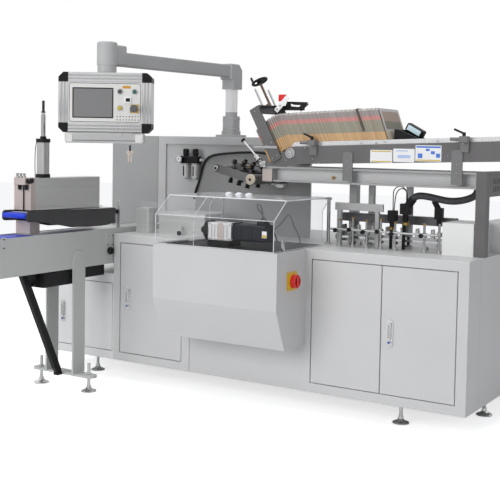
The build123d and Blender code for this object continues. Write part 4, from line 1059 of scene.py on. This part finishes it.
# %% Cable maker
def line_length(curve_object):
    flat = curve_object.data.bevel_depth
    curve_object.data.bevel_depth = 0
    depsgraph = bpy.context.evaluated_depsgraph_get()
    depsgraph.update()
    trace = bpy.data.meshes.new_from_object(curve_object.evaluated_get(depsgraph))
    points = [v.co.copy() for v in trace.vertices]
    bpy.data.meshes.remove(trace)
    curve_object.data.bevel_depth = flat
    return sum((b - a).length for a, b in zip(points, points[1:]))


def lay_cable(name, points, diameter, body="machine", place=machine, stiffness="medium", lay_way="loose"):
    data = bpy.data.curves.new(name, "CURVE")
    data.dimensions = "3D"
    data.resolution_u = 12
    data.bevel_resolution = 4
    data.bevel_depth = diameter / 20
    data.use_fill_caps = True
    line = data.splines.new("NURBS")
    line.points.add(len(points) - 1)
    for spot, p in zip(line.points, points):
        spot.co = (*(place @ (Vector(p) / 1000)), 1)
        spot.radius = 0.01
    line.order_u = 3
    line.use_endpoint_u = True
    cable = bpy.data.objects.new(name, data)
    bpy.context.scene.collection.objects.link(cable)
    data.materials.append(cable_black)
    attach(cable, body)
    length = round(line_length(cable), 3)
    print(name, "length", length)
    return cable


print("cable maker ready")

# %% [markdown]
# ## Cables of the drive and the back plate
# Two cables rise from the connectors of the motor in easy arcs and go down into the bay. A thicker one
# rises in a stiff bow towards the mouth of the magazine.

# %% Cables of the drive and the back plate
lay_cable("motor_cable", [
    (-983, -150, 958), (-983, -150, 985), (-1000, -140, 1020), (-1045, -100, 1026), (-1090, -30, 1000),
    (-1115, 60, 960), (-1125, 150, 900), (-1128, 215, 850), (-1128, 235, 811)], 8)
lay_cable("encoder_cable", [
    (-960, -130, 893), (-935, -120, 905), (-915, -80, 940), (-925, -10, 975), (-955, 70, 960),
    (-985, 160, 900), (-992, 225, 850), (-992, 240, 811)], 6)
lay_cable("back_plate_cable", [
    (-1842, 491, 990), (-1836, 491, 1030), (-1806, 491, 1100), (-1785, 491, 1190), (-1745, 491, 1238),
    (-1690, 491, 1252), (-1614, 491, 1260), (-1500, 491, 1268), (-1390, 491, 1268), (-1330, 491, 1262)],
    13, stiffness="stiff", lay_way="taut")

# %% [markdown]
# ## Vacuum picker
# On the arm, bright discs seat the two pivots, and every cup rod ends in a black elbow with a brass
# nipple that takes the vacuum hose. These parts ride on the arm, so they are drawn in the arm's own
# frame: x along the arm from its upper pivot and z across it.

# %% Rings, elbows and nipples on the arm
on_arm = ("picker", arm_frame)
pivot_gap = 228.5
cup_places, cup_rows = (0.34, 0.58, 0.82), (236, 342)
ring = start_turned([(14, 0), (14, 4), (12, 6), (8, 6), (7, 2)], 28, (0, 188, 0), to_front)
lay(ring, "pivot_ring", chrome, "bright", *on_arm)
hub_rings = [(29, 0), (29, 6), (26, 9), (17, 9), (16, 7), (9, 7), (8, 11), (4, 11), (3, 8)]
hub_metal = finish_of("hub_disc", (0.66, 0.58, 0.48), 0.3, metal=0.7, grain=30, amount=0.06, bump=0.05)
lay(start_turned(hub_rings, 36, (pivot_gap, 186, 0), to_front), "hub_disc", hub_metal, "steel", *on_arm)
pivot_centres = [start_turned([(6.8, 0), (6.8, 5), (5, 6.5), (2, 6.5)], 20, (0, 188, 0), to_front),
                 start_turned([(7.6, 0), (7.6, 12), (5.5, 14), (2, 14)], 6, (pivot_gap, 186, 0), to_front)]
lay(joined(*pivot_centres), "pivot_centres", black_metal, "black", *on_arm)
elbows, nipples = [], []
for ax, y in [(part * pivot_gap, y) for part in cup_places for y in cup_rows]:
    elbows.append(start_turned([(8, 0), (11, 2), (11, 22), (9, 25), (5, 26)], 18, (ax, y, 43)))
    elbows.append(start_turned([(9, 0), (9, 16), (6.5, 18), (4, 18)], 16, (ax, y, 56), to_front))
    elbows.append(start_turned([(12, 0), (13, 3), (13, 9), (11, 11)], 18, (ax, y, 12)))
    nipples.append(start_turned([(6.5, 0), (7.5, 2), (7.5, 5), (5, 6)], 6, (ax, y, -33)))
    nipples.append(start_turned([(5, 0), (5, 4), (4, 6)], 12, (ax, y - 18, 56), to_front))
lay(joined(*elbows), "cup_elbows", black_plastic, "black", *on_arm)
lay(joined(*nipples), "cup_nipples", brass, "bright", *on_arm)
print("elbows", len(elbows), "nipples", len(nipples))

# %% [markdown]
# ## Vacuum hoses
# A thin hose loops from the elbow of one cup rod to the next in its row. It leaves the nipple straight
# ahead, swings out in an even curve and comes straight back, so that it never bends tighter than four
# times its thickness.

# %% Vacuum hoses between the elbows
for index in (0, 1):
    x0, x1 = [part * pivot_gap for part in cup_places[index:index + 2]]
    for y in cup_rows:
        lay_cable(f"cup_hose_{index}_{y}", [
            (x0, y - 22, 56), (x0 + 1, y - 40, 57), (x0 + 15, y - 54, 60),
            (x1 - 15, y - 54, 60), (x1 - 1, y - 40, 57), (x1, y - 22, 56)], 4, *on_arm)

# %% [markdown]
# ## Blow pipe
# Left of the mouth a pale pipe slants down into a bright turned joint, which a small block holds. Black
# collars close both. The rings of the joint widen, narrow and widen again, which reads as a joint with
# its nut.

# %% Blow pipe and joint beside the mouth
joint_way = (0.62, 0.05, -0.78)
pipe = round_edges(start_rod((-1321, 188, 1337), (-1234, 188, 1252), 4, 14), 0.8)
lay(pipe, "blow_pipe", label_white, "white_paint")
joint = start_turned([(8, 0), (14, 6), (17, 16), (15, 28), (19, 34), (19, 44), (12, 50), (10, 60)], 24,
                     (-1240, 188, 1258), joint_way)
arm_block = sink(soft_block((-1209, 182, 1196), (-1176, 199, 1228), 3, 3), front, 5, 2)
lay(joined(joint, arm_block), "pipe_joint", chrome, "bright")
collars = [start_turned([(19.5, 0), (19.5, 6), (16, 8)], 24, (-1219, 186, 1232), joint_way),
           start_turned([(10, 0), (12, 2), (12, 9), (9, 11)], 20, (-1322, 188, 1338), (0.71, 0, -0.7))]
lay(joined(*collars), "pipe_collars", black_plastic, "black")
print("collars on the blow pipe", len(collars))

# %% [markdown]
# ## Air unit
# Compressed air passes a filter and an oiler. Their bowls have a metal guard with a sight slot, and a
# gauge faces the operator. The gauge is turned in steps, and its needle is a thin rod on a white disc.

# %% Gauge, sight slots and fittings
gauge_x, gauge_z = -1944, 1220
bowl_places = (-1926, -1858)
gauge_ring = start_turned([(21, 0), (21, 7), (19, 8.5), (17, 8.5), (16.5, 6)], 32, (gauge_x, 479, gauge_z),
                          to_front)
nut_rings = [(12, 0), (13, 2), (13, 16), (10, 20), (10, 30), (13, 32), (13, 36)]
side_nuts = [start_turned(nut_rings, 6, (nx, 522, 1216), (d, 0, 0)) for nx, d in ((-1831, 1), (-1958, -1))]
lay(joined(gauge_ring, *side_nuts), "gauge_ring", chrome, "bright")
dial = start_turned([(16.4, 0), (16.4, 1.2), (15, 1.5)], 32, (gauge_x, 474, gauge_z), to_front)
lay(dial, "gauge_dial", label_white, "white_paint")
needle = start_rod((-1951, 471.6, 1213), (-1938, 471.6, 1228), 0.8, 6)
hub_cap = start_turned([(2.6, 0), (2.6, 1.2), (1.5, 1.6)], 12, (gauge_x, 472.4, gauge_z), to_front)
slots = [soft_block((sx - 4, 497.6, 1122), (sx + 4, 499.6, 1180), 0.9) for sx in bowl_places]
rim_rings = [(24.5, 0), (25.5, 1.5), (25.5, 8), (24, 9)]
rims = [start_turned(rim_rings, 28, (sx, 522, 1190)) for sx in bowl_places]
lay(joined(needle, hub_cap, *slots, *rims), "air_marks", black_plastic, "black")
print("bowls", len(bowl_places))

# %% [markdown]
# ## Control box face
# The face is a thin film with a line around it, a recessed screen with a dark frame, a yellow square
# under the stop button and an orange strip. All is drawn flat in the box's own frame, where the face
# looks along minus y, and rides on the box.

# %% Screen, film line and yellow square
face = dict(body="control_box", place=panel_frame)
bezel = rounded_panel(-162, 42, 1431, 1582, -60, 3, 1.2, opening=5)
lay(bezel, "screen_bezel", black_plastic, "black", **face)
glass = sink(soft_block((-158.5, -60.4, 1434.5), (38.5, -58.1, 1578.5), 0.5), front, 3, 0.3)
lay(glass, "screen_glass", screen_grey, "black", **face)
outline = rounded_panel(-179, 179, 1411, 1605, -60, 12, 0.6, opening=2.6)
lay(outline, "face_line", dark_paint, "black", **face)
square = rounded_panel(127.5, 168.5, 1458.5, 1501.5, -63, 3, 0.8, opening=9)
lay(square, "stop_square", yellow_plate, "yellow", **face)
mark = rounded_panel(88, 128, 1580, 1593, -60, 2, 0.6)
lay(mark, "maker_strip", orange_film, "yellow", **face)
print("face parts", 5)

# %% [markdown]
# ## Buttons, display and lamps
# A push button is two turned parts, a bright ring and a coloured cap, so one helper makes the pair. The
# caps replace the plain button solids of the frame. The display is a block with a sunk front, and two
# rows of small studs make the lamps.


# %% Buttons, display and lamps
def face_button(x, z):
    ring = start_turned([(14, 0), (14, 4), (12.5, 6), (11, 6), (10.8, 4.5)], 32, (x, -60, z), to_front)
    cap = start_turned([(10.4, 0), (10.4, 9), (9.4, 11), (6, 11.4)], 28, (x, -60, z), to_front)
    return ring, cap


for name, x, z, finish in (("grey", 75, 1564, grey_cap), ("green", 148, 1564, green_cap),
                           ("yellow", 75, 1482, yellow_cap)):
    ring, cap = face_button(x, z)
    lay(ring, f"button_ring_{name}", chrome, "bright", **face)
    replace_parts(lay(cap, f"button_cap_{name}", finish, "black", **face), "control_buttons")
display = sink(soft_block((98, -66, 1508), (132, -60, 1538), 2, 3), front, 4, 1.5)
lay(display, "small_display", label_white, "white_paint", **face)
window = sink(soft_block((102, -65.2, 1513), (128, -64.2, 1533), 0.4), front, 1, 0.2)
lay(window, "display_window", black_plastic, "black", **face)
lamps = [start_turned([(3, 0), (3, 1.2), (2, 2)], 14, (62 + 15 * k, -60, high), to_front)
         for high in (1440, 1424) for k in range(8)]
lay(joined(*lamps), "face_lamps", grey_cap, "black", **face)
print("lamps", len(lamps))

# %% [markdown]
# ## Lock and keys
# A lock sits under the ledge, and two keys hang below it from a clip with a sunk front. Each key has a
# turned bow and a flat blade. The ring is a torus. Its stretch is counted from the floor, so it moves the
# ring up as well.

# %% Lock and keys
lock = start_turned([(9, 0), (9, 6), (7, 8)], 20, (128, -62, 1306), (0, 0, -1))
lay(lock, "ledge_lock", chrome, "bright", **face)
deselect()
bpy.ops.mesh.primitive_torus_add(major_radius=0.011, minor_radius=0.0012, major_segments=28,
                                 minor_segments=8, location=(0.128, -0.062, 1.283),
                                 rotation=(0, math.pi / 2, 0))
key_ring = bpy.context.object
apply_place()
bpy.ops.transform.resize(value=(1, 1, 1.15), orient_type="GLOBAL")
clip = sink(soft_block((124, -66, 1268), (132, -58, 1299), 1.5), front, 2, 1)
lay(joined(clip, key_ring), "key_clip", black_metal, "black", **face)
keys = []
for kx in (121, 134):
    keys += [start_turned([(10, 0), (10, 2), (9, 2.4), (4, 2.4), (3.6, 1.6)], 20, (kx, -61, 1262), to_front),
             sink(soft_block((kx - 3, -63, 1214), (kx + 3, -61.4, 1254), 0.4), front, 1.2, 0.3)]
key_metal = finish_of("key_metal", (0.72, 0.60, 0.52), 0.3, metal=0.6, grain=30, amount=0.08, bump=0.05)
lay(joined(*keys), "keys", key_metal, "bright", **face)
print("keys", len(keys) // 2)

# %% [markdown]
# ## Screws on the arm post
# Four screws on the front and four on the right side hold the sleeve of the arm post. The same turned
# screw serves both sides, only its direction changes.

# %% Screws on the arm post
post_x, post_y, post_rows = -1697, 650, (1400, 1460)
post_screws = [cap_screw((post_x + step, post_y - 38, sz), r=5) for step in (-26, 26) for sz in post_rows]
post_screws += [cap_screw((post_x + 38, post_y + step, sz), to_right, 5)
                for step in (-26, 26) for sz in post_rows]
lay(joined(*post_screws), "post_screws", chrome, "bright")
print("post screws", len(post_screws))

# %% [markdown]
# ## Rails of the control box
# The frame of the box is a pressed profile with three rounded ribs a side, which show as light and dark
# stripes. Each rib is one bar with rounded ends, set half into the frame, and a pale end cap closes each
# end of the ledge. A thin dark strip across the front of the ledge is a painted shade for its groove.

# %% Ribs and ledge ends
rib_y, rib_radius = -57.6, 6
ribs = [start_rod((side * across, rib_y, 1407), (side * across, rib_y, 1609), rib_radius, 16)
        for across in (191.25, 207.5, 224.75) for side in (-1, 1)]
ribs += [start_rod((-183.5, rib_y, high), (183.5, rib_y, high), rib_radius, 16)
         for high in (1365.75, 1383, 1399.25, 1616.75, 1633, 1650.25)]
for rib in ribs:
    round_edges(rib, 1.5)
lay(joined(*ribs), "frame_ribs", aluminium, "alu", **face)
ends = [sink(soft_block((x - 3, -87, 1312), (x + 3, 4, 1354), 2.5, 3), lambda c, n: abs(n.x) > 0.999, 4, 1)
        for x in (-193, 193)]
strips = [sink(soft_block((x - 17, -88.6, 1311), (x + 17, -86.4, 1352), 0.8), front, 3, 0.4)
          for x in (-173, 173)]
lay(joined(*ends, *strips), "ledge_ends", face_film, "white_paint", **face)
# painted shade: a thin dark strip across the ledge front stands in for the shadow in its groove
groove_shade = soft_block((-155, -87.6, 1318), (155, -86.2, 1320.5), 0.4)
lay(groove_shade, "ledge_groove_shade", dark_paint, "black", **face)
print("ribs", len(ribs))

# %% [markdown]
# ## Dressing of the lift
# Beside the column a pale valve block feeds the cylinder through black elbows. Turned shapes make the
# elbows and the bright nuts on top, which get only six sides, as real nuts have.

# %% Valve block and fittings
valve = sink(soft_block((-2193, -596, 1089), (-2115, -574, 1125), 2.5, 3), front, 5, 1)
lay(valve, "valve_block", beige_paint, "steel")
low_rings = [(7, 0), (9, 2), (9, 16), (7, 18), (7, 24), (5, 26)]
elbows = [start_turned(low_rings, 20, (ex, -585, 1089), (0, 0, -1)) for ex in (-2163, -2117)]
elbows += [start_turned([(10, 0), (12, 3), (12, 26), (9, 30)], 20, (-2115, -580, 1108), to_right),
           start_turned([(9, 0), (11, 3), (11, 20), (8, 24)], 20, (-2084, -580, 1100))]
tube = round_edges(start_rod((-2140, -580, 1089), (-2140, -580, 958), 3, 14), 0.8)
lay(joined(*elbows, tube), "valve_elbows", black_plastic, "black")
nut_rings = [(8, 0), (9, 1.5), (9, 8), (6, 10), (6, 16), (8, 18), (8, 22)]
nuts = [start_turned(nut_rings, 6, (nx, -585, 1125)) for nx in (-2178, -2154, -2130)]
lay(joined(*nuts), "valve_nuts", chrome, "bright")
print("elbows", len(elbows), "nuts", len(nuts))

# %% [markdown]
# ## Small parts of the beam and the left table
# A plate with four screws and a short round motor sit where the crosswise beam meets the cabinets, and a
# plate with two screws sits near its free end. The left table has a slotted bracket with a clamp knob,
# and pale steel decks cover the two conveyors. Slots and recesses are inset and sunk.


# %% Beam plates and bracket
def side_plate(y0, y1, z0, z1):
    return sink(soft_block((-2035, y0, z0), (-2032.5, y1, z1), 1.2), right_side, 4, 0.6)


lay(joined(side_plate(-54, -3, 746, 805), side_plate(-833, -801, 784, 844)), "beam_plates", beam_paint,
    "white_paint")
screw_spots = [(sy, sz) for sy in (-48, -9) for sz in (752, 799)] + [(-817, 793), (-817, 835)]
beam_screws = [cap_screw((-2032.5, sy, sz), to_right, 3.4) for sy, sz in screw_spots]
motor_rings = [(19, 0), (20, 2), (20, 14), (18, 17), (9, 17), (8, 14)]
beam_motor = start_turned(motor_rings, 32, (-2035, -32, 718), to_right)
lay(joined(beam_motor, *beam_screws), "beam_motor", black_metal, "black")
bracket = sink(soft_block((-2066, 62, 779), (-2042, 66, 990), 1.2), front, 6, 2.5)
lay(bracket, "slotted_bracket", brushed_steel, "steel")
knob_rings = [(5, 0), (5, 6), (11, 8), (12, 11), (12, 18), (9, 21), (3, 21)]
clamp_knobs = [start_turned(knob_rings, 24, spot, to_front) for spot in ((-2054, 62, 928), (-1696, 160, 823))]
lay(joined(*clamp_knobs), "table_knobs", black_plastic, "black")
decks = [sink(soft_block((-2204, -600, 950.4), (-2049, 20, 953), 1), top_side, 8, 0.6),
         sink(soft_block((-2205, -575, 835.4), (-2043, 500, 837.4), 0.8), top_side, 8, 0.6)]
lay(joined(*decks), "conveyor_decks", brushed_steel, "steel")
print("screws on the beam", len(beam_screws))

# %% [markdown]
# ## Dressing of the track
# Every guide post is held by a clamp with a black knob towards the operator and a brass cap on top. The
# two glue heads carry brass rings around their nozzles, and a small beige panel sits beside the picker.

# %% Clamp knobs, caps and nozzle rings
knob_rings = [(5, 0), (5, 4), (10, 6), (11, 9), (11, 15), (8, 18), (3, 18)]
cap_rings = [(7, 0), (8, 1.5), (8, 6), (5, 9), (2, 9.5)]
track_knobs, post_caps = [], []
for number in (0, 1, 2, 3, 4, 6):
    px, high = -770 + 76 * number, 130 + 12 * (number % 2)
    track_knobs.append(start_turned(knob_rings, 20, (px, 207, 821 + high * 0.55), to_front))
    post_caps.append(start_turned(cap_rings, 20, (px, 240, 810 + high)))
lay(joined(*track_knobs), "track_knobs", black_plastic, "black")
nozzle_rings = [(15, 0), (16, 2), (16, 13), (13, 16)]
nozzles = [start_turned(nozzle_rings, 28, spot) for spot in ((-499, 284, 905), (-430, 287, 931))]
lay(joined(*post_caps, *nozzles), "track_brass", brass, "bright")
lay(rounded_panel(-1199, -1141, 1125, 1187, 194, 2, 1.2), "link_panel", beige_paint, "steel")
print("knobs", len(track_knobs))

# %% [markdown]
# ## Cables of the track and the lift
# One thin cable loops from one glue head to the other, a second goes down to the track, and a lead runs
# along the lift cylinder. Their points were spaced so that every bend stays wider than four times the
# cable's thickness.

# %% Cables of the track and the lift
lay_cable("head_cable", [
    (-499, 284, 1001), (-499, 284, 1040), (-499, 284, 1071), (-499, 284, 1099), (-479, 285, 1120),
    (-450, 286, 1120), (-430, 287, 1099), (-430, 287, 1071), (-430, 287, 1037)], 5)
lay_cable("track_cable", [
    (-430, 296, 1037), (-430, 296, 1060), (-430, 296, 1082), (-438, 296, 1102), (-458, 294, 1112),
    (-478, 288, 1100), (-486, 280, 1072), (-487, 270, 1000), (-486, 256, 910), (-485, 250, 848)], 5)
lay_cable("cylinder_lead", [
    (-2195, -430, 1311), (-2203, -431, 1290), (-2207, -432, 1230), (-2206, -432, 1150),
    (-2200, -430, 1060), (-2196, -430, 1010)], 4)

# %% [markdown]
# ## Door locks
# The swing handles of the doors lie in a shallow tray and open with a round key. A tray line is sunk into
# each handle, and a blue cap covers the key hole. They ride on their doors.

# %% Handle trays and caps
locks = (("right", -375, 386, "right_door_right"), ("left", -1929, 400, "left_door"),
         ("low", -2399, 282, "low_door"))
for name, x, z0, body in locks:
    tray = sink(soft_block((x - 5.5, -14, z0 + 40), (x + 5.5, -12.8, z0 + 106), 0.5), front, 1.6, 0.5)
    lay(tray, f"{name}_handle_tray", arm_grey, "frame_grey", body)
    cap = start_turned([(5.6, 0), (5.6, 2), (4.4, 3.2), (2, 3.2)], 20, (x, -9.6, z0 + 20), to_front)
    lay(cap, f"{name}_key_cap", blue_cap, "belt", body)
print("locks", len(locks))
